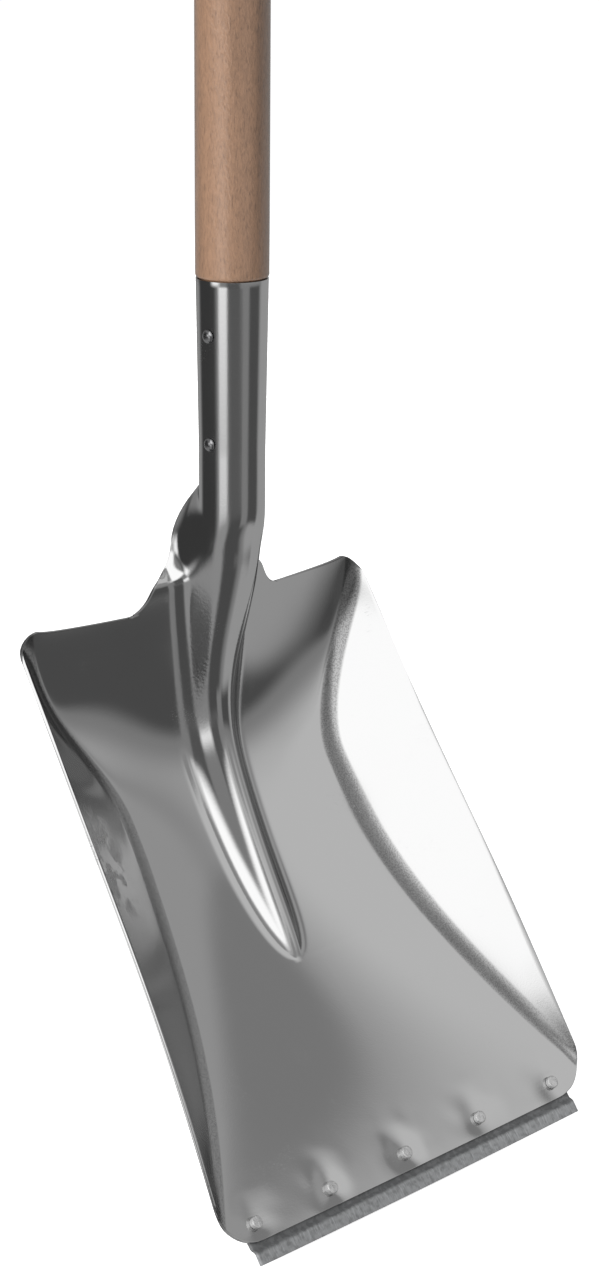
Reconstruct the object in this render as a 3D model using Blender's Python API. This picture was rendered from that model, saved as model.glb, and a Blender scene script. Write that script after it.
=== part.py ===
"""Ballast shovel: a pressed aluminium blade with a rolled socket, a riveted steel wear strip
and a straight wooden handle.

The handle runs up +Z, the dished face of the blade looks towards -Y and X is to the right.
The origin is on the handle's axis at the rim of the socket. All sizes are in metres.

The blade is one sheet. Its front face is a surface of straight cross sections: a section is
placed by t, the distance below the socket rim at which its plane crosses the handle's axis,
and a point on it by u, the length along the sheet from the centre line. In the socket and
the neck the planes are level. Below the shoulders they are square to the blade, and s is
the distance down the blade from the shoulder line.
"""
from math import cos, pi, radians, sin, tan

import bmesh
import bpy
import numpy as np
from mathutils import Matrix, Vector

MM = 0.001

# Fits
CLEARANCE = 0.3 * MM            # between touching pieces
SEAM_GAP = 2.0 * MM             # between the rolled edges at the back of the socket

# Sheet and socket
SHEET = 2.0 * MM                # thickness of the aluminium
SOCKET_RIM_RADIUS = 20.0 * MM   # outer radius at the rim
NECK_RADIUS = 18.5 * MM         # outer radius where the neck begins
SOCKET_LENGTH = 95.0 * MM       # closed part of the socket
NECK_OPENING = 50.0 * MM        # over this length the tube opens into a channel

# Blade, laid out from the shoulder line
LIFT = radians(33.1)            # angle between the handle and the blade
LIFT_START = 115.0 * MM         # where the section planes begin to tilt
SHOULDER_AT = 167.0 * MM        # where the shoulder section crosses the handle's axis
RIM_SETBACK = 35.5 * MM         # from the handle's axis back to the blade's rims there
BLADE_LENGTH = 343.0 * MM       # shoulder line to mouth
SHOULDER_WIDTH = 261.2 * MM
MOUTH_WIDTH = 291.4 * MM
FLARE_POWER = 1.7               # how late the sides spread towards the mouth
SHOULDER_CORNER = 14.0 * MM     # radius
MOUTH_CORNER = 25.0 * MM        # radius
SHOULDER_DIP = 5.0 * MM         # the shoulder line's low point beside the neck
SHOULDER_RISE = 6.4 * MM        # from there up to the corner
MOUTH_BOW = 1.5 * MM            # the mouth's bulge at the centre line

# Dish: depths are measured back from the plane of the rims
SHOULDER_DEPTH = -1.5 * MM
DISH_DEPTH = 43.0 * MM
DISH_AT = 140.0 * MM            # distance of the deepest place from the shoulder line
MOUTH_DEPTH = 10.0 * MM
MOUTH_RIM_DEPTH = 1.5 * MM      # of the rims at the mouth corners
SHOULDER_SLOPE = -0.78          # of the floor at the shoulder line
MOUTH_SLOPE = 0.13              # of the floor at the mouth
FLOOR_RADIUS = 286.0 * MM       # of the floor across the blade, at its roundest
FLOOR_ROUND_START = 35.0 * MM   # where it begins to grow round
FLOOR_ROUND_FULL = 140.0 * MM   # where it is roundest
RIM_CROWN = 3.5 * MM            # the rims' rise above their plane
RIM_CROWN_AT = 225.0 * MM
RIM_CROWN_REACH = 150.0 * MM    # to either side of the top of the crown

# Creases between the floor and the side walls
CREASE_TOP_HALF = 124.0 * MM    # half width between them at the shoulder line
CREASE_TOP_SLOPE = 0.0
CREASE_NARROW_HALF = 81.0 * MM  # half width at their narrowest
CREASE_NARROW_AT = 108.0 * MM
CREASE_RUNOUT = 13.0 * MM       # from the mouth to where they reach the rims
CREASE_BEND = 5.0 * MM          # softness of the bend

# Frog: the ridge that carries the socket's shape out into the blade
FROG_HEIGHT = 17.7 * MM
FROG_END = 212.0 * MM           # its tip, from the shoulder line
FROG_TIP_RUN = 220.0 * MM       # over this length it falls to nothing
FROG_TIP_POWER = 3.2
FROG_TIP_FULLNESS = 0.8         # less makes the tip blunter
FROG_CREST_RADIUS = 10.0 * MM
FROG_CREST_RUN = 134.0 * MM     # over this length the crest grows narrow
NECK_FALL_START = -18.0 * MM    # where the neck begins to fall back to the frog
NECK_FALL_END = 89.0 * MM
FOOT_RADIUS_NECK = 11.0 * MM    # fillet between the flank and the floor
FOOT_RADIUS_FROG = 17.0 * MM
FLANK_ANGLE_NECK = radians(84.0)    # the steepest the flanks get where the tube opens
FLANK_ANGLE = radians(69.0)     # the same at the shoulders
FLANK_ANGLE_FROG = radians(55.0)    # the same along the frog
FLANK_LEAN_START = 141.0 * MM   # section where the flanks begin to lean out
FLANK_LEAN_END = 164.0 * MM
FLANK_FROG_AT = 66.0 * MM       # down the blade, where they have the frog's angle
FLANK_SOFTNESS = 0.08           # how softly they reach it, in the cosine of the angle

# Saddle: the floor's rise beside the top of the frog
SADDLE_HEIGHT = 16.0 * MM
SADDLE_HALF = 64.0 * MM         # its reach to each side
SADDLE_START = -22.0 * MM
SADDLE_FULL = 4.0 * MM
SADDLE_END = 87.0 * MM

# Neck sweep: the cut edge between the socket and the shoulder line
SWEEP_START = 142.0 * MM
SWEEP_REACH = 57.0 * MM         # half width at which it meets the shoulder line
SWEEP_LEAD = 8.0 * MM           # how far it follows the neck first
SWEEP_TAIL = 15.0 * MM          # how far it follows the shoulder line at its end

# Wear strip
STRIP_THICKNESS = 2.0 * MM
STRIP_LENGTH = 255.0 * MM
STRIP_LEAF = 21.0 * MM          # behind the blade, from the mouth line
STRIP_JOGGLE_START = 2.2 * MM   # past the mouth line
STRIP_JOGGLE_RUN = 3.0 * MM
STRIP_LIP_END = 12.0 * MM       # past the mouth line

# Edge rivets
EDGE_RIVETS = 5
EDGE_RIVET_END = 8.5 * MM       # from the strip's ends to the outermost rivets
EDGE_RIVET_INSET = 9.5 * MM     # from the mouth line
EDGE_SHANK_RADIUS = 2.4 * MM
EDGE_HEAD_RADIUS = 3.6 * MM
EDGE_HEAD_HEIGHT = 2.6 * MM
EDGE_HEAD_BEVEL = 0.5 * MM      # around the hammered top
EDGE_TAIL_RADIUS = 4.2 * MM
EDGE_TAIL_TOP = 3.15 * MM       # radius of the tail's flat top
EDGE_TAIL_HEIGHT = 1.8 * MM

# Socket rivets: they run right through the socket and the handle
SOCKET_RIVETS = {"upper": 30.0 * MM, "lower": 90.0 * MM}    # below the rim
SOCKET_RIVET_FORWARD = 2.0 * MM # in front of the handle's axis
SOCKET_SHANK_RADIUS = 2.3 * MM
SOCKET_HEAD_RADIUS = 3.8 * MM
SOCKET_HEAD_HEIGHT = 2.2 * MM

# Handle
HANDLE_RADIUS = 20.25 * MM
HANDLE_ABOVE_RIM = 1000.0 * MM
TENON_LENGTH = 108.0 * MM       # inside the socket
TENON_CHAMFER = 4.0 * MM
HANDLE_SHOULDER_ROUND = 2.0 * MM
HANDLE_END_ROUND = 9.0 * MM

# Mesh fineness
SOCKET_ROWS = 4
NECK_ROWS = 4
SWEEP_ROWS = 10
SHOULDER_CORNER_ROWS = 3
BLADE_ROWS = 28
MOUTH_CORNER_ROWS = 5
INNER_COLUMNS = 12              # to each side of the centre line
OUTER_COLUMNS = 9
CREASE_GATHER = 2.0             # how much closer the columns lie beside a crease
CREASE_GATHER_WIDTH = 14.0 * MM
STRIP_COLUMNS = 24
OUTER_SAMPLES = 200             # from which the outer columns are picked
ROUND_STEPS = 40
RIVET_STEPS = 20
DOME_STEPS = 4
END_ROUND_STEPS = 5
SHOULDER_ROUND_STEPS = 3
SHARP_EDGE = radians(35)

# Working values
PROBE = 0.05 * MM               # distance over which a surface normal is taken
MERGE_DISTANCE = 0.001 * MM
TINY = 1e-9

# Looks: colour, roughness, metallic
ALUMINIUM = ((0.80, 0.80, 0.80), 0.25, 1.0)
GALVANISED = ((0.30, 0.31, 0.32), 0.45, 1.0)
EDGE_RIVET_METAL = ((0.62, 0.62, 0.62), 0.35, 1.0)
SOCKET_RIVET_METAL = ((0.45, 0.45, 0.46), 0.3, 1.0)
BEECH = ((0.52, 0.34, 0.22), 0.5, 0.0)
CUTTER_RED = ((1.0, 0.2, 0.2), 0.5, 0.0)


def ease(z):
    """0 to 1 with level ends."""
    z = np.clip(z, 0.0, 1.0)
    return z * z * (3.0 - 2.0 * z)


def ease_more(z):
    """0 to 1 with level and uncurved ends."""
    z = np.clip(z, 0.0, 1.0)
    return z ** 3 * (10.0 + z * (6.0 * z - 15.0))


def blend(x, start, end):
    """Cubic from start to end, each given as (place, value, slope)."""
    x0, y0, slope0 = start
    x1, y1, slope1 = end
    run = x1 - x0
    z = (x - x0) / run
    return ((1 + 2 * z) * (1 - z) ** 2 * y0 + z * (1 - z) ** 2 * run * slope0
            + z * z * (3 - 2 * z) * y1 + z * z * (z - 1) * run * slope1)


def tilt(t):
    """Tilt of the section plane."""
    return LIFT * ease_more((t - LIFT_START) / (SHOULDER_AT - LIFT_START))


def blade_distance(t):
    """Distance down the blade from the shoulder line."""
    return (t - SHOULDER_AT) * cos(LIFT)


def section_at(s):
    """The section that lies s down the blade."""
    return SHOULDER_AT + s / cos(LIFT)


def rim_line(s):
    """Place of the rims' plane in a section, forward of the handle's axis."""
    return tan(LIFT) * s - RIM_SETBACK


def floor_line(s):
    """Height of the floor at the centre line, from the plane of the rims."""
    deepest = (DISH_AT, -DISH_DEPTH, 0.0)
    upper = blend(s, (0.0, -SHOULDER_DEPTH, SHOULDER_SLOPE), deepest)
    lower = blend(s, deepest, (BLADE_LENGTH, -MOUTH_DEPTH, MOUTH_SLOPE))
    above = -SHOULDER_DEPTH + SHOULDER_SLOPE * s
    below = -MOUTH_DEPTH + MOUTH_SLOPE * (s - BLADE_LENGTH)
    return np.select([s < 0, s < DISH_AT, s < BLADE_LENGTH], [above, upper, lower], below)


def rim_half(s):
    """Half width between the rims."""
    spread = (MOUTH_WIDTH - SHOULDER_WIDTH) / 2
    return SHOULDER_WIDTH / 2 + spread * np.clip(s / BLADE_LENGTH, 0, None) ** FLARE_POWER


def rim_height(s):
    """Height of the rims over their plane."""
    z = np.clip((s - RIM_CROWN_AT) / RIM_CROWN_REACH, -1, 1)
    fall = MOUTH_RIM_DEPTH * np.clip(s / BLADE_LENGTH, 0, 1) ** 3
    return RIM_CROWN * np.cos(z * pi / 2) ** 2 - fall


def crease_half(s):
    """Half width between the creases."""
    narrow = (CREASE_NARROW_AT, CREASE_NARROW_HALF, 0.0)
    upper = blend(s, (0.0, CREASE_TOP_HALF, CREASE_TOP_SLOPE), narrow)
    z = (s - CREASE_NARROW_AT) / (BLADE_LENGTH - CREASE_RUNOUT - CREASE_NARROW_AT)
    lower = CREASE_NARROW_HALF + (MOUTH_WIDTH / 2 - CREASE_NARROW_HALF) * z * z
    return np.where(s < CREASE_NARROW_AT, upper, lower)


def floor_bend(s):
    """Curvature term of the floor across the blade: height is this times x squared."""
    top = SHOULDER_DEPTH / (SHOULDER_WIDTH / 2) ** 2
    middle = 1 / (2 * FLOOR_RADIUS)
    mouth = (MOUTH_DEPTH - MOUTH_RIM_DEPTH) / (MOUTH_WIDTH / 2) ** 2
    rise = ease((s - FLOOR_ROUND_START) / (FLOOR_ROUND_FULL - FLOOR_ROUND_START))
    fall = ease((s - FLOOR_ROUND_FULL) / (BLADE_LENGTH - FLOOR_ROUND_FULL))
    return np.where(s < FLOOR_ROUND_FULL, top + (middle - top) * rise, middle + (mouth - middle) * fall)


def turn_up(distance):
    """Rise of a wall of slope 1 at a distance from its crease."""
    return 0.5 * (distance + np.sqrt(distance ** 2 + CREASE_BEND ** 2))


def pan_rise(s, x):
    """Rise of the floor and the walls over the centre line's floor."""
    bend = floor_bend(s)
    rim = rim_half(s)
    crease = crease_half(s)
    missing = rim_height(s) - floor_line(s) - bend * rim ** 2
    slope = missing / turn_up(rim - crease)
    return bend * x ** 2 + slope * turn_up(x - crease)


def frog_height(s):
    """Height of the frog over the floor."""
    z = np.clip((s - FROG_END + FROG_TIP_RUN) / FROG_TIP_RUN, 0, 1)
    return FROG_HEIGHT * (1 - z ** FROG_TIP_POWER) ** FROG_TIP_FULLNESS


def saddle_rise(s):
    """Rise of the floor beside the frog."""
    rise = ease((s - SADDLE_START) / (SADDLE_FULL - SADDLE_START))
    return SADDLE_HEIGHT * rise * (1 - ease((s - SADDLE_FULL) / (SADDLE_END - SADDLE_FULL)))


def socket_radius(t):
    """Outer radius of the socket and the neck."""
    return SOCKET_RIM_RADIUS + (NECK_RADIUS - SOCKET_RIM_RADIUS) * np.clip(t / SOCKET_LENGTH, 0, 1)


def crest_line(t):
    """Place of the crest in its section, forward of the handle's axis."""
    s = blade_distance(t)
    frog = rim_line(s) + floor_line(s) + frog_height(s)
    fall = ease((s - NECK_FALL_START) / (NECK_FALL_END - NECK_FALL_START))
    return socket_radius(t) * (1 - fall) + frog * fall


def frog_section(t):
    """Crest radius, foot radius, flank angle and straight flank of a section."""
    s = blade_distance(t)
    narrowing = ease((s - NECK_FALL_START) / FROG_CREST_RUN)
    crest = socket_radius(t) * (1 - narrowing) + FROG_CREST_RADIUS * narrowing
    foot = FOOT_RADIUS_NECK + (FOOT_RADIUS_FROG - FOOT_RADIUS_NECK) * ease(s / NECK_FALL_END)
    floor = rim_line(s) + floor_line(s) + saddle_rise(s)
    height = np.clip(crest_line(t) - floor, 0, None)
    level = 1 - height / (crest + foot)
    softness = FLANK_SOFTNESS * ease(height / FROG_HEIGHT - 1)
    lean = ease((t - FLANK_LEAN_START) / (FLANK_LEAN_END - FLANK_LEAN_START))
    steepest = np.cos(FLANK_ANGLE_NECK + (FLANK_ANGLE - FLANK_ANGLE_NECK) * lean
                      + (FLANK_ANGLE_FROG - FLANK_ANGLE) * ease(s / FLANK_FROG_AT))
    cosine = 0.5 * (level + steepest + np.sqrt((level - steepest) ** 2 + softness ** 2))
    cosine = np.minimum(cosine, 1 - TINY)
    angle = np.arccos(cosine)
    flank = np.clip((height - (crest + foot) * (1 - cosine)) / np.sin(angle), 0, None)
    closed = 1 - ease((t - SOCKET_LENGTH) / NECK_OPENING)
    return crest, foot, angle + (pi - angle) * closed, flank * (1 - closed)


def foot_place(t):
    """Length along the sheet to the outer end of the frog's fillet, and its half width."""
    crest, foot, angle, flank = frog_section(t)
    length = (crest + foot) * angle + flank
    half = (crest + foot) * np.sin(angle) + flank * np.cos(angle)
    return length, half


def length_to(t, x):
    """Length along the sheet out to half width x, beyond the frog."""
    length, half = foot_place(t)
    return length + x - half


def front_point(t, u):
    """Point of the blade's front face, on its right half."""
    crest, foot, angle, flank = frog_section(t)
    s = blade_distance(t)
    over_crest = np.minimum(u / crest, angle)
    x = crest * np.sin(over_crest)
    back = crest * (1 - np.cos(over_crest))
    down = np.clip(u - crest * angle, 0, flank)
    x = x + down * np.cos(angle)
    back = back + down * np.sin(angle)
    turned = np.clip((u - crest * angle - flank) / foot, 0, angle)
    x = x + foot * (np.sin(angle) - np.sin(angle - turned))
    back = back + foot * (np.cos(angle - turned) - np.cos(angle))
    x = x + np.clip(u - (crest + foot) * angle - flank, 0, None)
    rise = pan_rise(s, x) * ease(1 + s / FOOT_RADIUS_FROG)
    saddle = saddle_rise(s) * (np.exp(-(x / SADDLE_HALF) ** 2) - 1)
    forward = crest_line(t) - back + rise + saddle
    lean = tilt(t)
    return np.stack([x, -np.cos(lean) * forward, -t + np.sin(lean) * forward], axis=-1)


def front_normal(t, u):
    """Outward unit normal of the front face on the right half."""
    across = front_point(t, u + PROBE) - front_point(t, np.maximum(u - PROBE, 0))
    along = front_point(t + PROBE, u) - front_point(t - PROBE, u)
    normal = np.cross(along, across)
    return normal / np.linalg.norm(normal, axis=-1, keepdims=True)


def neck_rows():
    """Rows from the rim to the shoulder line: centre section, edge section, edge length."""
    rows = []
    for t in np.linspace(0, SOCKET_LENGTH, SOCKET_ROWS + 1):
        rows.append((t, t, pi * socket_radius(t) - SEAM_GAP / 2))
    strap = pi * NECK_RADIUS - SEAM_GAP / 2
    for t in np.linspace(SOCKET_LENGTH, SWEEP_START, NECK_ROWS + 1)[1:]:
        rows.append((t, t, strap))
    end_t = SHOULDER_AT + SHOULDER_DIP
    end_u = float(length_to(end_t, SWEEP_REACH))
    for k in range(1, SWEEP_ROWS + 1):
        z = k / SWEEP_ROWS
        lead = 3 * z * (1 - z) ** 2
        tail = 3 * z * z * (1 - z)
        start = (1 - z) ** 3
        t = (start * SWEEP_START + lead * (SWEEP_START + SWEEP_LEAD)
             + tail * end_t + z ** 3 * end_t)
        u = start * strap + lead * strap + tail * (end_u - SWEEP_TAIL) + z ** 3 * end_u
        rows.append((SWEEP_START + (SHOULDER_AT - SWEEP_START) * z, t, u))
    return rows


def blade_rows():
    """Rows below the shoulder line: distance down the blade and half width of the edge."""
    rows = []
    for k in range(1, SHOULDER_CORNER_ROWS + 1):
        a = pi / 2 * k / SHOULDER_CORNER_ROWS
        s = SHOULDER_CORNER * (1 - cos(a))
        rows.append((s, rim_half(s) - SHOULDER_CORNER * (1 - sin(a))))
    for s in np.linspace(SHOULDER_CORNER, BLADE_LENGTH - MOUTH_CORNER, BLADE_ROWS + 1)[1:]:
        rows.append((s, rim_half(s)))
    for k in range(1, MOUTH_CORNER_ROWS + 1):
        a = pi / 2 * k / MOUTH_CORNER_ROWS
        s = BLADE_LENGTH - MOUTH_CORNER * (1 - sin(a))
        rows.append((s, rim_half(s) - MOUTH_CORNER * (1 - cos(a))))
    return rows


def mouth_bow(s, x):
    """How far a row bulges towards the mouth."""
    near = ease((s - BLADE_LENGTH / 2) / (BLADE_LENGTH / 2))
    return MOUTH_BOW * near * (1 - (x / (MOUTH_WIDTH / 2)) ** 2)


def outer_lengths(start, end, crease):
    """Column places from start to end, gathered beside the crease."""
    fine = np.linspace(start, end, OUTER_SAMPLES)
    weight = 1 + CREASE_GATHER * np.exp(-((fine - crease) / CREASE_GATHER_WIDTH) ** 2)
    total = np.concatenate([[0], np.cumsum((weight[1:] + weight[:-1]) / 2)])
    return np.interp(np.linspace(0, total[-1], OUTER_COLUMNS + 1)[1:], total, fine)


def pan_row(s, edge_half):
    """Sections and lengths of the points of one row of the blade, out from the centre line."""
    t = section_at(s)
    inner_start = length_to(SHOULDER_AT + SHOULDER_DIP, SWEEP_REACH)
    inner_end = foot_place(t)[0] + FOOT_RADIUS_FROG
    inner_edge = inner_start + (inner_end - inner_start) * ease(s / NECK_FALL_END)
    inner = inner_edge * np.linspace(0, 1, INNER_COLUMNS + 1)
    edge = length_to(t, edge_half)
    crease = length_to(t, crease_half(s))
    u = np.concatenate([inner, outer_lengths(inner_edge, edge, crease)])
    column = np.arange(len(u))
    dip = np.where(column <= INNER_COLUMNS, SHOULDER_DIP * (column / INNER_COLUMNS) ** 2,
                   SHOULDER_DIP - SHOULDER_RISE * (column - INNER_COLUMNS) / OUTER_COLUMNS)
    x = front_point(t, u)[:, 0]
    fade = 1 - ease(s / (2 * SWEEP_REACH))
    return t + dip * fade + mouth_bow(s, x) / cos(LIFT), u


def half_rows():
    """Points of every row on the right half, from the rim of the socket to the mouth."""
    rows = []
    share = np.linspace(0, 1, INNER_COLUMNS + 1)
    for centre, edge, length in neck_rows()[:-1]:
        rows.append(front_point(centre + (edge - centre) * share ** 2, length * share))
    for s, edge_half in [(0.0, SHOULDER_WIDTH / 2 - SHOULDER_CORNER)] + blade_rows():
        t, u = pan_row(s, edge_half)
        rows.append(front_point(t, u))
    return rows


def new_object(name, mesh_builder, look):
    """One sub-part with its own material."""
    mesh = bpy.data.meshes.new(name)
    mesh_builder.normal_update()
    mesh_builder.to_mesh(mesh)
    mesh_builder.free()
    colour, roughness, metallic = look
    material = bpy.data.materials.new(name)
    material.use_nodes = True
    shader = material.node_tree.nodes["Principled BSDF"]
    shader.inputs["Base Color"].default_value = (*colour, 1.0)
    shader.inputs["Roughness"].default_value = roughness
    shader.inputs["Metallic"].default_value = metallic
    mesh.materials.append(material)
    mesh.shade_smooth()
    mesh.set_sharp_from_angle(angle=SHARP_EDGE)
    obj = bpy.data.objects.new(name, mesh)
    bpy.context.collection.objects.link(obj)
    return obj


def add_row(builder, points):
    """Vertices of one full row, left edge to right edge."""
    left = [builder.verts.new((-x, y, z)) for x, y, z in points[:0:-1]]
    points[0][0] = 0.0
    return left + [builder.verts.new(p) for p in points]


def make_blade():
    """The pressed sheet: its front face as a grid, thickened backwards."""
    builder = bmesh.new()
    rows = [add_row(builder, points) for points in half_rows()]
    for upper, lower in zip(rows, rows[1:]):
        inset = (len(lower) - len(upper)) // 2
        below = lower[inset:len(lower) - inset]
        for k in range(len(upper) - 1):
            builder.faces.new((upper[k], below[k], below[k + 1], upper[k + 1]))
    blade = new_object("blade", builder, ALUMINIUM)
    solid = blade.modifiers.new("thickness", "SOLIDIFY")
    solid.thickness = SHEET
    solid.offset = -1.0
    solid.use_even_offset = True
    solid.use_rim = True
    return blade


def strip_profile():
    """Outline of the strip's section: distance past the mouth line and offset from the face."""
    leaf = -(SHEET + CLEARANCE)
    bend = STRIP_JOGGLE_START + STRIP_JOGGLE_RUN
    front = [(-STRIP_LEAF, leaf), (STRIP_JOGGLE_START, leaf), (bend, 0.0), (STRIP_LIP_END, 0.0)]
    return front + [(along, offset - STRIP_THICKNESS) for along, offset in reversed(front)]


def mouth_place(x, past):
    """Section and length of the face's point at half width x, past the mouth line."""
    t = section_at(BLADE_LENGTH + past + mouth_bow(BLADE_LENGTH, x))
    return t, length_to(t, abs(x))


def mouth_point(x, past, offset):
    """Point over the blade's face near the mouth, or over the face carried on past it."""
    t, u = mouth_place(x, past)
    point = front_point(t, u) + front_normal(t, u) * offset
    return Vector((point[0] if x >= 0 else -point[0], point[1], point[2]))


def make_wear_strip():
    """The joggled strip behind the mouth, which brings its lip level with the blade's face."""
    builder = bmesh.new()
    rings = []
    for x in np.linspace(-STRIP_LENGTH / 2, STRIP_LENGTH / 2, STRIP_COLUMNS + 1):
        rings.append([builder.verts.new(mouth_point(x, past, offset)) for past, offset in strip_profile()])
    count = len(rings[0])
    for near, far in zip(rings, rings[1:]):
        for k in range(count):
            builder.faces.new((near[k], near[(k + 1) % count], far[(k + 1) % count], far[k]))
    builder.faces.new(rings[0][::-1])
    builder.faces.new(rings[-1])
    bmesh.ops.recalc_face_normals(builder, faces=builder.faces)
    return new_object("wear_strip", builder, GALVANISED)


def turned(builder, profile, steps, matrix):
    """Turn a profile of (radius, height) points about an axis, closed at both ends."""
    verts = [builder.verts.new((radius, 0.0, height)) for radius, height in profile]
    edges = [builder.edges.new(pair) for pair in zip(verts, verts[1:])]
    bmesh.ops.spin(builder, geom=verts + edges, cent=(0, 0, 0), axis=(0, 0, 1), dvec=(0, 0, 0),
                   angle=2 * pi, steps=steps, use_merge=True, use_duplicate=False)
    bmesh.ops.remove_doubles(builder, verts=builder.verts, dist=MERGE_DISTANCE)
    bmesh.ops.recalc_face_normals(builder, faces=builder.faces)
    bmesh.ops.transform(builder, matrix=matrix, verts=builder.verts)


def domed(radius, height, base, steps):
    """Profile of a domed head, from its rim to its top."""
    return [(radius * cos(a), base + height * sin(a)) for a in np.linspace(0, pi / 2, steps + 1)]


def frame_on(point, axis):
    """Matrix that stands a turned piece on a point, with its axis along the given one."""
    return Matrix.Translation(point) @ Vector(axis).to_track_quat("Z", "Y").to_matrix().to_4x4()


def edge_rivet_frames():
    """Place and axis of each rivet along the mouth, left to right."""
    frames = []
    for share in np.linspace(-0.5, 0.5, EDGE_RIVETS):
        x = share * (STRIP_LENGTH - 2 * EDGE_RIVET_END)
        foot = mouth_point(x, -EDGE_RIVET_INSET, 0.0)
        frames.append(frame_on(foot, mouth_point(x, -EDGE_RIVET_INSET, 1.0 * MM) - foot))
    return frames


def make_edge_rivet(name, matrix):
    """A rivet through the blade and the strip, with a hammered flat head on each side."""
    back = -(SHEET + CLEARANCE + STRIP_THICKNESS + CLEARANCE)
    top = CLEARANCE + EDGE_HEAD_HEIGHT
    profile = [
        (0.0, top),
        (EDGE_HEAD_RADIUS - EDGE_HEAD_BEVEL, top),
        (EDGE_HEAD_RADIUS, top - EDGE_HEAD_BEVEL),
        (EDGE_HEAD_RADIUS, CLEARANCE),
        (EDGE_SHANK_RADIUS, CLEARANCE),
        (EDGE_SHANK_RADIUS, back),
        (EDGE_TAIL_RADIUS, back),
        (EDGE_TAIL_TOP, back - EDGE_TAIL_HEIGHT),
        (0.0, back - EDGE_TAIL_HEIGHT),
    ]
    builder = bmesh.new()
    turned(builder, profile, RIVET_STEPS, matrix)
    return new_object(name, builder, EDGE_RIVET_METAL)


def make_socket_rivet(name, depth):
    """A rivet right through the socket and the handle, with a domed head on each side."""
    seat = float((socket_radius(depth) ** 2 - SOCKET_RIVET_FORWARD ** 2) ** 0.5) + CLEARANCE
    dome = domed(SOCKET_HEAD_RADIUS, SOCKET_HEAD_HEIGHT, seat, DOME_STEPS)
    upper = dome[::-1] + [(SOCKET_SHANK_RADIUS, seat)]
    profile = upper + [(radius, -height) for radius, height in reversed(upper)]
    profile[0] = (0.0, profile[0][1])
    profile[-1] = (0.0, profile[-1][1])
    builder = bmesh.new()
    turned(builder, profile, RIVET_STEPS, frame_on((0, -SOCKET_RIVET_FORWARD, -depth), (1, 0, 0)))
    return new_object(name, builder, SOCKET_RIVET_METAL)


def make_handle():
    """The turned wooden handle, with a tenon that fills the socket."""
    top = HANDLE_ABOVE_RIM
    rim_tenon = SOCKET_RIM_RADIUS - SHEET - CLEARANCE
    neck_tenon = NECK_RADIUS - SHEET - CLEARANCE
    profile = [(0.0, top)]
    for a in np.linspace(pi / 2, 0, END_ROUND_STEPS + 1):
        profile.append((HANDLE_RADIUS - HANDLE_END_ROUND * (1 - cos(a)),
                        top - HANDLE_END_ROUND * (1 - sin(a))))
    for a in np.linspace(0, pi / 2, SHOULDER_ROUND_STEPS + 1):
        profile.append((HANDLE_RADIUS - HANDLE_SHOULDER_ROUND * (1 - cos(a)),
                        CLEARANCE + HANDLE_SHOULDER_ROUND * (1 - sin(a))))
    profile += [
        (rim_tenon, CLEARANCE),
        (rim_tenon, 0.0),
        (neck_tenon, -SOCKET_LENGTH),
        (neck_tenon, TENON_CHAMFER - TENON_LENGTH),
        (neck_tenon - TENON_CHAMFER, -TENON_LENGTH),
        (0.0, -TENON_LENGTH),
    ]
    builder = bmesh.new()
    turned(builder, profile, ROUND_STEPS, Matrix.Identity(4))
    return new_object("handle", builder, BEECH)


def drill(target, name, radius, half_length, matrix):
    """Cut a round hole with a guide that stays in the file, hidden."""
    builder = bmesh.new()
    turned(builder, [(0, half_length), (radius, half_length), (radius, -half_length), (0, -half_length)],
           RIVET_STEPS, matrix)
    cutter = new_object(name, builder, CUTTER_RED)
    cutter.hide_render = True
    cutter.display_type = "WIRE"
    cut = target.modifiers.new(name, "BOOLEAN")
    cut.operation = "DIFFERENCE"
    cut.solver = "EXACT"
    cut.object = cutter
    return cutter


def main():
    for obj in list(bpy.data.objects):
        bpy.data.objects.remove(obj, do_unlink=True)
    blade = make_blade()
    strip = make_wear_strip()
    handle = make_handle()
    reach = SHEET + STRIP_THICKNESS + 4 * CLEARANCE
    for k, matrix in enumerate(edge_rivet_frames(), start=1):
        make_edge_rivet(f"edge_rivet_{k}", matrix)
        for target in (blade, strip):
            drill(target, f"{target.name}_hole_{k}", EDGE_SHANK_RADIUS + CLEARANCE, 2 * reach, matrix)
    for place, depth in SOCKET_RIVETS.items():
        make_socket_rivet(f"socket_rivet_{place}", depth)
        matrix = frame_on((0, -SOCKET_RIVET_FORWARD, -depth), (1, 0, 0))
        for target in (blade, handle):
            drill(target, f"{target.name}_{place}_hole", SOCKET_SHANK_RADIUS + CLEARANCE,
                  2 * SOCKET_RIM_RADIUS, matrix)


main()
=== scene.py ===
"""Ballast shovel: the finish of every surface, made round the modelled part.

Units are metres. +Z runs up the handle, the dished face of the blade looks towards -Y and the
origin is on the handle's axis at the rim of the socket.

The blade, the wear strip and the rivets along the mouth are laid out flat and then pressed, as
the real sheet is. A flat point is (length across, section, lift): the length along the sheet
from its centre line, the distance below the socket rim at which the section's plane crosses the
handle's axis, and the height over the sheet's front face.

The frog is the ridge that runs from the neck out into the blade. In the formulas b holds the
blade's sizes, t is a section, s the distance down the blade from the shoulder line, u a length
along the sheet and x a half width. z tells how far a change has gone, with 1 at its end.
"""
from math import pi, radians
from types import SimpleNamespace

import bmesh
import bpy
import numpy as np
from bpy.props import FloatProperty, FloatVectorProperty, IntProperty, PointerProperty
from bpy.types import Operator, Panel, PropertyGroup
from mathutils import Matrix, Vector


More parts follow.
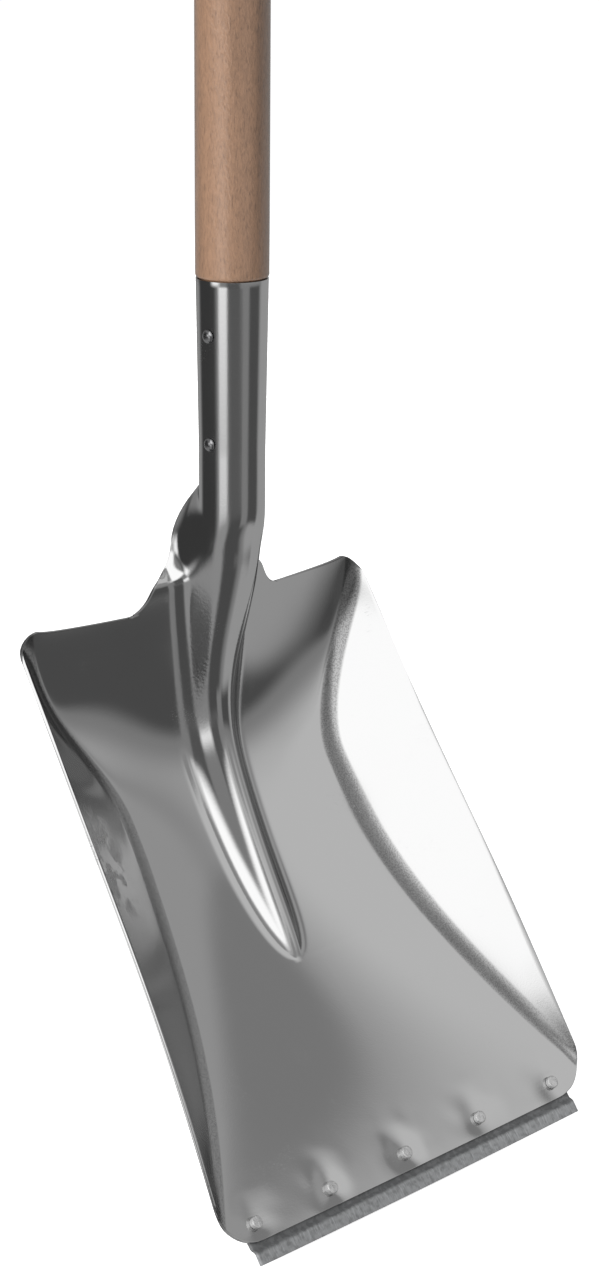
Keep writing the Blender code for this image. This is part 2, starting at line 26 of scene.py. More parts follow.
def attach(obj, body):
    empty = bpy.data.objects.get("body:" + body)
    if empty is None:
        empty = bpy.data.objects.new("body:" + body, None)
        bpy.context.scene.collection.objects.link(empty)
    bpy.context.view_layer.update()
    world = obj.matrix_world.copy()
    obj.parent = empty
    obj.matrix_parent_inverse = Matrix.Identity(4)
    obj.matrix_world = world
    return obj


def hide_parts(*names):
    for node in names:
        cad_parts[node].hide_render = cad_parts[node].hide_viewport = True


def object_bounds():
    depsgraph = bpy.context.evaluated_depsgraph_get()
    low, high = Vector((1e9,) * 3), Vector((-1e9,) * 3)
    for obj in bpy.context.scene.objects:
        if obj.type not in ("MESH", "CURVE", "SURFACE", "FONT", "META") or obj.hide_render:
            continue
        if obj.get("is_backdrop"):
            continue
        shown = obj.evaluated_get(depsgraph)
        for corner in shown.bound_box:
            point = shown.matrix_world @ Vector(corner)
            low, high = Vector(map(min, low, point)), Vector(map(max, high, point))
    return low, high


bl_info = {
    "name": "Ballast shovel",
    "version": (1, 0, 0),
    "blender": (4, 5, 0),
    "location": "3D View > Sidebar > Shovel",
    "description": "A ballast shovel with a pressed blade, a wear strip and a wooden handle",
    "category": "Add Mesh",
}

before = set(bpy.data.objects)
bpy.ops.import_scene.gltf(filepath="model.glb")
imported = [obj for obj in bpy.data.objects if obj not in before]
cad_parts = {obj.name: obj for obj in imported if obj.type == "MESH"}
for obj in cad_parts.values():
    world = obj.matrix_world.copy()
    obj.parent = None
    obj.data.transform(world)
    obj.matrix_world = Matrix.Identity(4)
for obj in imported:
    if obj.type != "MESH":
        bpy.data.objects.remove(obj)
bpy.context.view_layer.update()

MM = 0.001
BODY = "root"
FLAT = "flat"                   # attribute that keeps a piece's flat points
FOLD = "fold"                   # attribute with the distance out from the crease

# Fineness of the blade's mesh
SOCKET_ROWS = 26
NECK_ROWS = 18
SWEEP_ROWS = 34
SHOULDER_CORNER_ROWS = 8
BLADE_ROWS = 150
MOUTH_CORNER_ROWS = 12
INNER_COLUMNS = 42              # to each side of the centre line
OUTER_COLUMNS = 52
CREASE_GATHER = 2.0             # how much closer the columns lie beside a crease
CREASE_GATHER_WIDTH = 14.0 * MM
OUTER_SAMPLES = 400
STRIP_COLUMNS = 120
STRIP_STEP = 1.0 * MM           # between points along the strip's section
RIVET_STEPS = 36
DOME_STEPS = 10
HANDLE_STEPS = 72
TENON_STEPS = 60
BODY_STEPS = 200
EDGE_BEVEL_STEPS = 2
BEVEL_FROM = radians(60)        # edges sharper than this are rounded
SHARP_FROM = radians(50)
PROBE = 0.1 * MM                # distance over which a normal is taken
LEAST_TURN = 1e-7               # keeps the cosine of a flank's angle below 1

# Marks that the riveting and the hammer left
DIMPLE_WAVES = 60.0             # uneven waves in the sheet round the rivets, to the metre
DIMPLE_UNEVEN = 1.2             # their height, as a share of the dimple's depth
DIMPLE_SPREAD = 1.6             # their reach, as a share of the dimple's
HAMMER_WAVES = 420.0            # hammer marks on the rivets, to the metre

# Outline of a hammered head
HEAD_FLAT = 0.8                 # flat part, as a share of the radius
HEAD_CORNER = 0.25              # rounding of the rim, as a share of the height
HEAD_CROWN = 0.1                # rise of the middle, as a share of that rounding
HEAD_FLAT_POINTS = 7
HEAD_CORNER_POINTS = 5
ROUND_FROM = 0.2                # angle in radians at which a rounding's points begin


def length(name, description, millimetres):
    """A size, stated in millimetres and kept in metres."""
    return FloatProperty(name=name, description=description, default=millimetres * MM,
                         precision=5, unit="LENGTH")


def angle(name, description, turn):
    """An angle, stated in degrees and kept in radians."""
    return FloatProperty(name=name, description=description, default=radians(turn),
                         precision=3, unit="ROTATION")


def number(name, description, value):
    """A plain number."""
    return FloatProperty(name=name, description=description, default=value, precision=3)


def colour(name, description, value):
    """A colour."""
    return FloatVectorProperty(name=name, description=description, default=value, size=3,
                               min=0.0, max=1.0, subtype="COLOR")


class BladeSizes(PropertyGroup):
    """Sizes of the pressed sheet."""
    sheet: length("Sheet", "Thickness of the aluminium", 1.76)
    edge_round: length("Edge rounding", "Rounding of the sheet's cut edges", 0.55)
    seam_gap: length("Seam gap", "Gap between the rolled edges at the back of the socket", 2.0)
    socket_rim_radius: length("Socket rim radius", "Outer radius at the socket's rim", 20.0)
    neck_radius: length("Neck radius", "Outer radius where the neck begins", 18.5)
    socket_length: length("Socket length", "Closed part of the socket", 95.0)
    neck_opening: length("Neck opening", "Over this length the tube opens", 50.0)
    lift: angle("Lift", "Angle between the handle and the blade", 33.1)
    lift_start: length("Lift start", "Where the section planes begin to tilt", 115.0)
    shoulder_at: length("Shoulder place", "Where the shoulder section meets the axis", 167.0)
    rim_setback: length("Rim setback", "From the handle's axis back to the rims", 35.5)
    blade_length: length("Blade length", "From the shoulder line to the mouth", 343.0)
    shoulder_width: length("Shoulder width", "Width over the rims at the shoulders", 261.2)
    mouth_width: length("Mouth width", "Width over the rims at the mouth", 290.6)
    flare_power: number("Flare power", "How late the sides spread", 1.7)
    shoulder_corner: length("Shoulder corner", "Radius of the shoulder corners", 14.0)
    mouth_corner: length("Mouth corner", "Radius of the mouth corners", 25.0)
    shoulder_dip: length("Shoulder dip", "Low point of the shoulder line by the neck", 5.0)
    shoulder_rise: length("Shoulder rise", "From that dip up to the corner", 6.4)
    mouth_bow: length("Mouth bow", "Bulge of the mouth at the centre line", 1.5)
    shoulder_depth: length("Shoulder depth", "Depth of the floor at the shoulders", -1.5)
    dish_depth: length("Dish depth", "Greatest depth of the floor", 43.0)
    dish_at: length("Dish place", "Where the floor is deepest", 140.0)
    mouth_depth: length("Mouth depth", "Depth of the floor at the mouth", 10.0)
    mouth_rim_depth: length("Mouth rim depth", "Depth of the rims at the mouth", 1.5)
    shoulder_slope: number("Shoulder slope", "Slope of the floor at the shoulders", -0.78)
    mouth_slope: number("Mouth slope", "Slope of the floor at the mouth", 0.13)
    floor_radius: length("Floor radius", "Radius of the floor across the blade", 286.0)
    floor_round_start: length("Floor round start", "Where the floor grows round", 35.0)
    floor_round_full: length("Floor round full", "Where the floor is roundest", 140.0)
    rim_crown: length("Rim crown", "Rise of the rims over their plane", 3.5)
    rim_crown_at: length("Rim crown place", "Where the rims rise most", 225.0)
    rim_crown_reach: length("Rim crown reach", "Length of the rise to each side", 150.0)
    crease_top_half: length("Crease top", "Half width of the creases at the shoulders", 124.0)
    crease_top_slope: number("Crease top slope", "How they draw in there", 0.0)
    crease_narrow_half: length("Crease waist", "Half width of the creases' waist", 81.0)
    crease_narrow_at: length("Crease waist place", "Where their waist is", 108.0)
    crease_runout: length("Crease runout", "From the mouth to where they end", 13.0)
    crease_flat: length("Crease flat", "Half width of the narrow flat along each crease", 3.9)
    crease_bend: length("Crease bend", "Softness of the bend to each side of it", 3.1)
    frog_height: length("Frog height", "Height of the ridge over the floor", 17.7)
    frog_end: length("Frog end", "Tip of the ridge, from the shoulders", 212.0)
    frog_tip_run: length("Frog tip run", "Length over which the ridge falls away", 220.0)
    frog_tip_power: number("Frog tip power", "How late the ridge falls away", 3.2)
    frog_tip_fullness: number("Frog tip fullness", "How blunt its tip is: less is blunter", 0.8)
    frog_crest_radius: length("Frog crest radius", "Radius of the ridge's crest", 10.0)
    frog_crest_run: length("Frog crest run", "Length over which the crest narrows", 134.0)
    neck_fall_start: length("Neck fall start", "Where the neck begins to fall back", -28.0)
    neck_fall_end: length("Neck fall end", "Where the neck has become the ridge", 99.0)
    foot_radius_neck: length("Neck foot radius", "Fillet beside the neck", 11.0)
    foot_radius_frog: length("Frog foot radius", "Fillet beside the ridge", 17.0)
    flank_angle_neck: angle("Neck flank angle", "Angle of the sides where the tube opens", 84.0)
    flank_angle: angle("Flank angle", "Angle of the sides at the shoulders", 69.0)
    flank_angle_frog: angle("Frog flank angle", "Angle of the ridge's sides further down", 55.0)
    flank_frog_at: length("Frog flank place", "Where they have that angle", 74.0)
    flank_lean_start: length("Flank lean start", "Section where the sides begin to lean", 141.0)
    flank_lean_end: length("Flank lean end", "Section where they have leant over", 164.0)
    flank_softness: number("Flank softness", "How softly the sides reach it", 0.08)
    saddle_height: length("Saddle height", "Rise of the floor beside the ridge's top", 16.0)
    saddle_half: length("Saddle half width", "Reach of that rise to each side", 64.0)
    saddle_start: length("Saddle start", "Where the rise begins", -22.0)
    saddle_full: length("Saddle full", "Where it is highest", -3.0)
    saddle_end: length("Saddle end", "Where it has died away", 96.0)
    sweep_start: length("Sweep start", "Where the neck's cut edge leaves the strap", 142.0)
    sweep_reach: length("Sweep reach", "Half width where it meets the shoulders", 57.0)
    sweep_lead: length("Sweep lead", "How far it follows the neck first", 8.0)
    sweep_tail: length("Sweep tail", "How far it follows the shoulder line", 15.0)


class StripSizes(PropertyGroup):
    """Sizes of the wear strip."""
    thickness: length("Strip thickness", "Thickness of the steel", 2.0)
    width: length("Strip length", "Length of the strip along the mouth", 255.0)
    leaf: length("Strip leaf", "Width of the leaf behind the blade", 21.0)
    joggle_start: length("Joggle start", "From the mouth line to the joggle", 2.2)
    joggle_run: length("Joggle run", "Width of the joggle", 3.0)
    lip_end: length("Lip end", "From the mouth line to the lip's edge", 12.0)
    clearance: length("Strip clearance", "Between the strip and the blade", 0.3)
    strip_round: length("Strip rounding", "Rounding of the strip's edges", 0.25)


class RivetSizes(PropertyGroup):
    """Sizes of the rivets."""
    count: IntProperty(name="Rivets", description="Rivets along the mouth", default=5, min=1)
    pitch: length("Rivet pitch", "Between the rivets along the mouth", 59.5)
    inset: length("Rivet inset", "From the mouth line to the rivets", 9.5)
    shank: length("Rivet shank", "Radius of the shank", 2.4)
    head: length("Rivet head", "Radius of the hammered head", 3.6)
    head_height: length("Rivet head height", "Height of the hammered head", 2.6)
    tail: length("Rivet tail", "Radius of the head behind the strip", 4.2)
    tail_height: length("Rivet tail height", "Height of the head behind the strip", 1.8)
    hammering: length("Hammering", "Depth of the hammer marks on the heads", 0.5)
    dimple: length("Rivet dimple", "How far the sheet is pulled back round each rivet", 1.5)
    dimple_reach: length("Rivet dimple reach", "Radius of that dimple", 9.5)
    socket_upper: length("Upper socket rivet", "Distance below the socket's rim", 30.0)
    socket_lower: length("Lower socket rivet", "Distance below the socket's rim", 90.0)
    socket_forward: length("Socket rivet forward", "In front of the handle's axis", 2.0)
    socket_shank: length("Socket rivet shank", "Radius of the shank", 2.3)
    socket_head: length("Socket rivet head", "Radius of the dome", 3.8)
    socket_head_height: length("Socket rivet dome", "Height of the dome", 2.2)
    rivet_clearance: length("Rivet clearance", "Under each head", 0.3)


class HandleSizes(PropertyGroup):
    """Sizes of the wooden handle."""
    radius: length("Handle radius", "Radius of the handle", 20.25)
    above_rim: length("Handle length", "Length above the socket's rim", 1000.0)
    tenon: length("Tenon length", "Length inside the socket", 108.0)
    tenon_chamfer: length("Tenon chamfer", "Chamfer of the tenon's end", 4.0)
    shoulder_round: length("Shoulder rounding", "Rounding just above the socket", 2.0)
    end_round: length("End rounding", "Rounding of the far end", 9.0)
    fit: length("Tenon fit", "Gap round the tenon", 0.3)


class Finish(PropertyGroup):
    """Colours of the finishes."""
    aluminium: colour("Aluminium", "Bare rolled aluminium", (0.86, 0.86, 0.86))
    zinc: colour("Zinc", "Galvanised steel of the strip", (0.50, 0.51, 0.52))
    rivet: colour("Rivet", "Hammered rivet heads along the mouth", (0.90, 0.90, 0.90))
    dome: colour("Dome", "Domed rivet heads of the socket", (0.55, 0.55, 0.56))
    beech: colour("Beech", "Wood of the handle", (0.395, 0.230, 0.142))
    beech_dark: colour("Beech flecks", "Darker flecks and bands of the wood", (0.19, 0.115, 0.075))
    floor: colour("Floor", "Studio floor", (0.86, 0.86, 0.86))


class Field:
    """A node's output that can be reckoned with like a number."""

    def __init__(self, socket):
        self.socket = socket

    def __add__(self, other):
        return reckon("ADD", self, other)

    def __radd__(self, other):
        return reckon("ADD", other, self)

    def __sub__(self, other):
        return reckon("SUBTRACT", self, other)

    def __rsub__(self, other):
        return reckon("SUBTRACT", other, self)

    def __mul__(self, other):
        return reckon("MULTIPLY", self, other)

    def __rmul__(self, other):
        return reckon("MULTIPLY", other, self)

    def __truediv__(self, other):
        return reckon("DIVIDE", self, other)

    def __rtruediv__(self, other):
        return reckon("DIVIDE", other, self)

    def __neg__(self):
        return reckon("MULTIPLY", self, -1.0)


def feed(socket, value):
    """Link a field to a node's input, or fill a plain value in."""
    if isinstance(value, Field):
        socket.id_data.links.new(value.socket, socket)
    else:
        socket.default_value = value


def add_node(tree, kind, inputs=None, **settings):
    """One node with its settings made and its inputs fed."""
    node = tree.nodes.new(kind)
    for name, value in settings.items():
        setattr(node, name, value)
    for key, value in (inputs or {}).items():
        feed(node.inputs[key], value)
    return node


def reckon(operation, *values):
    """A Math node on fields and numbers."""
    tree = next(value.socket.id_data for value in values if isinstance(value, Field))
    node = add_node(tree, "ShaderNodeMath", dict(enumerate(values)), operation=operation)
    return Field(node.outputs[0])


def either(operation, plain):
    """A function that works on numbers with numpy and on fields with a Math node."""
    def worked(*values):
        if any(isinstance(value, Field) for value in values):
            return reckon(operation, *values)
        return plain(*values)
    return worked


sine = either("SINE", np.sin)
cosine = either("COSINE", np.cos)
tangent = either("TANGENT", np.tan)
arc_cosine = either("ARCCOSINE", np.arccos)
root = either("SQRT", np.sqrt)
exponential = either("EXPONENT", np.exp)
least = either("MINIMUM", np.minimum)
most = either("MAXIMUM", np.maximum)
power = either("POWER", np.power)


def clip(value, low, high):
    """value kept between low and high."""
    return least(most(value, low), high)


def ease(z):
    """0 to 1 with level ends."""
    z = clip(z, 0.0, 1.0)
    return z * z * (3.0 - 2.0 * z)


def ease_more(z):
    """0 to 1 with level and uncurved ends."""
    z = clip(z, 0.0, 1.0)
    return z * z * z * (10.0 + z * (6.0 * z - 15.0))


def blend(x, start, end):
    """Cubic from start to end, each given as (place, value, slope), level beyond them."""
    x0, y0, slope0 = start
    x1, y1, slope1 = end
    run = x1 - x0
    z = clip((x - x0) / run, 0.0, 1.0)
    rest = 1.0 - z
    return ((1.0 + 2.0 * z) * rest * rest * y0 + z * rest * rest * run * slope0
            + z * z * (3.0 - 2.0 * z) * y1 - z * z * rest * run * slope1)


def tilt(b, t):
    """Tilt of a section's plane."""
    return b.lift * ease_more((t - b.lift_start) / (b.shoulder_at - b.lift_start))


def blade_distance(b, t):
    """Distance down the blade from the shoulder line."""
    return (t - b.shoulder_at) * cosine(b.lift)


def section_at(b, s):
    """The section that lies s down the blade."""
    return b.shoulder_at + s / cosine(b.lift)


def rim_line(b, s):
    """Place of the rims' plane in a section, forward of the handle's axis."""
    return tangent(b.lift) * s - b.rim_setback


def floor_line(b, s):
    """Height of the floor at the centre line, from the plane of the rims."""
    deepest = (b.dish_at, -b.dish_depth, 0.0)
    upper = blend(s, (0.0, -b.shoulder_depth, b.shoulder_slope), deepest)
    lower = blend(s, deepest, (b.blade_length, -b.mouth_depth, b.mouth_slope))
    above = b.shoulder_slope * least(s, 0.0)
    below = b.mouth_slope * most(s - b.blade_length, 0.0)
    return upper + lower + b.dish_depth + above + below


def rim_half(b, s):
    """Half width between the rims."""
    spread = (b.mouth_width - b.shoulder_width) / 2
    return b.shoulder_width / 2 + spread * power(most(s / b.blade_length, 0.0), b.flare_power)


def rim_height(b, s):
    """Height of the rims over their plane."""
    z = clip((s - b.rim_crown_at) / b.rim_crown_reach, -1.0, 1.0)
    crown = cosine(z * (pi / 2))
    fall = power(clip(s / b.blade_length, 0.0, 1.0), 3)
    return b.rim_crown * crown * crown - b.mouth_rim_depth * fall


def crease_half(b, s):
    """Half width between the creases."""
    upper = blend(s, (0.0, b.crease_top_half, b.crease_top_slope),
                  (b.crease_narrow_at, b.crease_narrow_half, 0.0))
    end = b.blade_length - b.crease_runout
    z = most((s - b.crease_narrow_at) / (end - b.crease_narrow_at), 0.0)
    return upper + (b.mouth_width / 2 - b.crease_narrow_half) * z * z


def floor_bend(b, s):
    """Curvature term of the floor across the blade: height is this times x squared."""
    shoulder_half = b.shoulder_width / 2
    mouth_half = b.mouth_width / 2
    top = b.shoulder_depth / (shoulder_half * shoulder_half)
    middle = 0.5 / b.floor_radius
    mouth = (b.mouth_depth - b.mouth_rim_depth) / (mouth_half * mouth_half)
    rise = ease((s - b.floor_round_start) / (b.floor_round_full - b.floor_round_start))
    fall = ease((s - b.floor_round_full) / (b.blade_length - b.floor_round_full))
    return top + (middle - top) * rise + (mouth - middle) * fall


def turn_up(b, distance):
    """Rise of a wall of slope 1 at a distance from its crease: a narrow flat between two bends."""
    near = distance + b.crease_flat
    far = distance - b.crease_flat
    soft = b.crease_bend * b.crease_bend
    return 0.25 * (near + far + root(near * near + soft) + root(far * far + soft))


def pan_rise(b, s, x):
    """Rise of the floor and the walls over the centre line's floor."""
    bend = floor_bend(b, s)
    rim = rim_half(b, s)
    crease = crease_half(b, s)
    missing = rim_height(b, s) - floor_line(b, s) - bend * rim * rim
    slope = missing / turn_up(b, rim - crease)
    return bend * x * x + slope * turn_up(b, x - crease)


def frog_rise(b, s):
    """Height of the frog over the floor."""
    z = clip((s - b.frog_end + b.frog_tip_run) / b.frog_tip_run, 0.0, 1.0)
    return b.frog_height * power(1.0 - power(z, b.frog_tip_power), b.frog_tip_fullness)


def socket_radius(b, t):
    """Outer radius of the socket and the neck."""
    narrowing = b.neck_radius - b.socket_rim_radius
    return b.socket_rim_radius + narrowing * clip(t / b.socket_length, 0.0, 1.0)


def crest_line(b, t, s, floor):
    """Place of the crest in its section, forward of the handle's axis."""
    fall = ease_more((s - b.neck_fall_start) / (b.neck_fall_end - b.neck_fall_start))
    return socket_radius(b, t) * (1.0 - fall) + (floor + frog_rise(b, s)) * fall


def frog_section(b, t, s, height):
    """Crest radius, foot radius, flank angle and straight flank of a section."""
    height = most(height, 0.0)
    narrowing = ease((s - b.neck_fall_start) / b.frog_crest_run)
    crest = socket_radius(b, t) * (1.0 - narrowing) + b.frog_crest_radius * narrowing
    widening = ease(s / b.neck_fall_end)
    foot = b.foot_radius_neck + (b.foot_radius_frog - b.foot_radius_neck) * widening
    level = 1.0 - height / (crest + foot)
    softness = b.flank_softness * ease(height / b.frog_height - 1.0)
    lean = ease((t - b.flank_lean_start) / (b.flank_lean_end - b.flank_lean_start))
    later = ease_more(s / b.flank_frog_at)
    steepest = cosine(b.flank_angle_neck + (b.flank_angle - b.flank_angle_neck) * lean
                      + (b.flank_angle_frog - b.flank_angle) * later)
    over = level - steepest
    bend = level + steepest + root(over * over + softness * softness)
    cosine_angle = least(0.5 * bend, 1.0 - LEAST_TURN)
    turn = arc_cosine(cosine_angle)
    flank = most((height - (crest + foot) * (1.0 - cosine_angle)) / sine(turn), 0.0)
    closed = 1.0 - ease((t - b.socket_length) / b.neck_opening)
    return crest, foot, turn + (pi - turn) * closed, flank * (1.0 - closed)


def saddle_rise(b, s):
    """Rise of the floor beside the ridge."""
    rise = ease_more((s - b.saddle_start) / (b.saddle_full - b.saddle_start))
    fall = ease_more((s - b.saddle_full) / (b.saddle_end - b.saddle_full))
    return b.saddle_height * rise * (1.0 - fall)


def section_facts(b, t):
    """Distance down the blade, crest place and frog section of a section."""
    s = blade_distance(b, t)
    floor = rim_line(b, s) + floor_line(b, s)
    crest_place = crest_line(b, t, s, floor)
    return s, crest_place, frog_section(b, t, s, crest_place - floor - saddle_rise(b, s))


def foot_place(b, t):
    """Length along the sheet to the outer end of the frog's fillet, and its half width."""
    crest, foot, turn, flank = section_facts(b, t)[2]
    return (crest + foot) * turn + flank, (crest + foot) * sine(turn) + flank * cosine(turn)


def length_to(b, t, x):
    """Length along the sheet out to half width x, beyond the frog."""
    along, half = foot_place(b, t)
    return along + x - half


def face_point(b, t, u):
    """Point of the blade's front face on its right half, as x, y and z."""
    s, crest_place, (crest, foot, turn, flank) = section_facts(b, t)
    over_crest = least(u / crest, turn)
    down = clip(u - crest * turn, 0.0, flank)
    turned = clip((u - crest * turn - flank) / foot, 0.0, turn)
    beyond = most(u - (crest + foot) * turn - flank, 0.0)
    x = (crest * sine(over_crest) + down * cosine(turn)
         + foot * (sine(turn) - sine(turn - turned)) + beyond)
    back = (crest * (1.0 - cosine(over_crest)) + down * sine(turn)
            + foot * (cosine(turn - turned) - cosine(turn)))
    rise = pan_rise(b, s, x) * ease(1.0 + s / b.foot_radius_frog)
    spread = x / b.saddle_half
    saddle = saddle_rise(b, s) * (exponential(-(spread * spread)) - 1.0)
    forward = crest_place - back + rise + saddle
    lean = tilt(b, t)
    return x, -(cosine(lean) * forward), sine(lean) * forward - t


def bow_at(b, s, x):
    """How far a row bulges towards the mouth."""
    near = ease((s - b.blade_length / 2) / (b.blade_length / 2))
    share = x / (b.mouth_width / 2)
    return b.mouth_bow * near * (1.0 - share * share)


def neck_rows(b):
    """Rows above the shoulder line: section at the centre, section at the edge, half length."""
    strap = pi * b.neck_radius - b.seam_gap / 2
    rows = [(t, t, pi * socket_radius(b, t) - b.seam_gap / 2)
            for t in np.linspace(0.0, b.socket_length, SOCKET_ROWS + 1)]
    rows += [(t, t, strap)
             for t in np.linspace(b.socket_length, b.sweep_start, NECK_ROWS + 1)[1:]]
    end_t = b.shoulder_at + b.shoulder_dip
    end_u = length_to(b, end_t, b.sweep_reach)
    for z in np.linspace(0.0, 1.0, SWEEP_ROWS + 1)[1:-1]:
        start, lead, tail = (1 - z) ** 3, 3 * z * (1 - z) ** 2, 3 * z * z * (1 - z)
        t = (start * b.sweep_start + lead * (b.sweep_start + b.sweep_lead)
             + tail * end_t + z ** 3 * end_t)
        u = (start + lead) * strap + tail * (end_u - b.sweep_tail) + z ** 3 * end_u
        rows.append((b.sweep_start + (b.shoulder_at - b.sweep_start) * z, t, u))
    return rows


def blade_rows(b):
    """Rows from the shoulder line down: distance down the blade and half width of the edge."""
    rows = []
    for a in np.linspace(0.0, pi / 2, SHOULDER_CORNER_ROWS + 1):
        s = b.shoulder_corner * (1 - np.cos(a))
        rows.append((s, rim_half(b, s) - b.shoulder_corner * (1 - np.sin(a))))
    straight = np.linspace(b.shoulder_corner, b.blade_length - b.mouth_corner, BLADE_ROWS + 1)
    rows += [(s, rim_half(b, s)) for s in straight[1:]]
    for a in np.linspace(0.0, pi / 2, MOUTH_CORNER_ROWS + 1)[1:]:
        s = b.blade_length - b.mouth_corner * (1 - np.sin(a))
        rows.append((s, rim_half(b, s) - b.mouth_corner * (1 - np.cos(a))))
    return rows


def outer_lengths(start, end, crease):
    """Column places from start to end, gathered beside the crease."""
    fine = np.linspace(start, end, OUTER_SAMPLES)
    weight = 1 + CREASE_GATHER * np.exp(-((fine - crease) / CREASE_GATHER_WIDTH) ** 2)
    total = np.concatenate([[0], np.cumsum((weight[1:] + weight[:-1]) / 2)])
    return np.interp(np.linspace(0, total[-1], OUTER_COLUMNS + 1)[1:], total, fine)


def pan_row(b, s, edge_half):
    """Flat points of one row of the blade, out from the centre line."""
    t = section_at(b, s)
    inner_start = length_to(b, b.shoulder_at + b.shoulder_dip, b.sweep_reach)
    inner_end = foot_place(b, t)[0] + b.foot_radius_frog
    inner_edge = inner_start + (inner_end - inner_start) * ease(s / b.neck_fall_end)
    edge = length_to(b, t, edge_half)
    crease = length_to(b, t, crease_half(b, s))
    u = np.concatenate([inner_edge * np.linspace(0, 1, INNER_COLUMNS + 1),
                        outer_lengths(inner_edge, edge, crease)])
    column = np.arange(len(u))
    dip = np.where(column <= INNER_COLUMNS, b.shoulder_dip * (column / INNER_COLUMNS) ** 2,
                   b.shoulder_dip - b.shoulder_rise * (column - INNER_COLUMNS) / OUTER_COLUMNS)
    x = face_point(b, t, u)[0]
    fade = 1 - ease(s / (2 * b.sweep_reach))
    return u, t + dip * fade + bow_at(b, s, x) / cosine(b.lift)


def blank_rows(b):
    """Rows of flat points of the blade's right half, from the socket rim to the mouth."""
    share = np.linspace(0, 1, INNER_COLUMNS + 1)
    rows = [(half * share, centre + (edge - centre) * share ** 2)
            for centre, edge, half in neck_rows(b)]
    return rows + [pan_row(b, s, edge_half) for s, edge_half in blade_rows(b)]


def plain_object(name, builder):
    """An object that holds a bmesh."""
    mesh = bpy.data.meshes.new(name)
    builder.to_mesh(mesh)
    builder.free()
    piece = bpy.data.objects.new(name, mesh)
    bpy.context.collection.objects.link(piece)
    return piece


def blade_blank(b):
    """The flat blank of the blade."""
    builder = bmesh.new()
    rows = []
    for lengths, sections in blank_rows(b):
        right = [(float(u), float(t)) for u, t in zip(lengths, sections)]
        left = [(-u, t) for u, t in right[:0:-1]]
        rows.append([builder.verts.new((u, t, 0.0)) for u, t in left + right])
    for upper, lower in zip(rows, rows[1:]):
        inset = (len(lower) - len(upper)) // 2
        below = lower[inset:len(lower) - inset]
        for k in range(len(upper) - 1):
            builder.faces.new((upper[k], upper[k + 1], below[k + 1], below[k]))
    return plain_object("aluminium_blade", builder)


def strip_blank(b, strip):
    """The wear strip with its joggle, laid out flat along the mouth."""
    leaf = -(b.sheet + strip.clearance)
    bend = strip.joggle_start + strip.joggle_run
    front = [(-strip.leaf, leaf)]
    for start, end in [((-strip.leaf, leaf), (strip.joggle_start, leaf)),
                       ((strip.joggle_start, leaf), (bend, 0.0)),
                       ((bend, 0.0), (strip.lip_end, 0.0))]:
        steps = max(2, round((end[0] - start[0]) / STRIP_STEP))
        for z in np.linspace(0, 1, steps + 1)[1:]:
            lift = start[1] + (end[1] - start[1]) * ease(z)
            front.append((start[0] + (end[0] - start[0]) * z, lift))
    profile = front + [(past, lift - strip.thickness) for past, lift in reversed(front)]
    builder = bmesh.new()
    rings = []
    for x in np.linspace(-strip.width / 2, strip.width / 2, STRIP_COLUMNS + 1):
        bow = bow_at(b, b.blade_length, x)
        rings.append([builder.verts.new((x, section_at(b, b.blade_length + past + bow), lift))
                      for past, lift in profile])
    count = len(profile)
    for near, far in zip(rings, rings[1:]):
        for k in range(count):
            builder.faces.new((near[k], near[(k + 1) % count], far[(k + 1) % count], far[k]))
    half = count // 2
    for ring in (rings[0], rings[-1]):
        for k in range(half - 1):
            builder.faces.new((ring[k], ring[k + 1], ring[count - 2 - k], ring[count - 1 - k]))
    bmesh.ops.recalc_face_normals(builder, faces=builder.faces)
    return plain_object("steel_strip", builder)


def turned(name, profile, steps):
    """A piece turned about Z from (radius, height) points, closed at both ends."""
    builder = bmesh.new()
    verts = [builder.verts.new((radius, 0.0, height)) for radius, height in profile]
    edges = [builder.edges.new(pair) for pair in zip(verts, verts[1:])]
    bmesh.ops.spin(builder, geom=verts + edges, cent=(0, 0, 0), axis=(0, 0, 1), dvec=(0, 0, 0),
                   angle=2 * pi, steps=steps, use_merge=True, use_duplicate=False)
    bmesh.ops.remove_doubles(builder, verts=builder.verts, dist=0.001 * MM)
    bmesh.ops.recalc_face_normals(builder, faces=builder.faces)
    return plain_object(name, builder)


def sizes_of(group):
    """The single numbers that a property group holds, as (key, property) pairs."""
    return [(key, prop) for key, prop in group.bl_rna.properties.items()
            if prop.type in {"FLOAT", "INT"} and not prop.is_array]


def new_tree(name, groups, inputs, outputs):
    """A geometry tree with an input for each size of some property groups.

    Returns the tree, its input and output nodes, and the sizes as fields.
    """
    tree = bpy.data.node_groups.new(name, "GeometryNodeTree")
    for label, kind in outputs:
        tree.interface.new_socket(label, in_out="OUTPUT", socket_type=kind)
    for label, kind in inputs:
        tree.interface.new_socket(label, in_out="INPUT", socket_type=kind)
    keys = {}
    for group in groups:
        for key, prop in sizes_of(group):
            kind = "NodeSocketInt" if prop.type == "INT" else "NodeSocketFloat"
            socket = tree.interface.new_socket(prop.name, in_out="INPUT", socket_type=kind,
                                               description=prop.description)
            socket.default_value = getattr(group, key)
            keys[key] = prop.name
    entry = tree.nodes.new("NodeGroupInput")
    leave = tree.nodes.new("NodeGroupOutput")
    sizes = SimpleNamespace(**{key: Field(entry.outputs[label]) for key, label in keys.items()})
    return tree, entry, leave, sizes


def piece_tree(name, groups):
    """A geometry tree that takes a piece's mesh in and gives a mesh out."""
    mesh = [("Geometry", "NodeSocketGeometry")]
    return new_tree(name, groups, mesh, mesh)


def use_group(tree, group, entry, inputs):
    """A node group inside a tree, with inputs of the same name passed through."""
    node = add_node(tree, "GeometryNodeGroup", node_tree=group)
    for socket in node.inputs:
        if socket.name in inputs:
            feed(socket, inputs[socket.name])
        elif socket.name in entry.outputs:
            tree.links.new(entry.outputs[socket.name], socket)
    return node


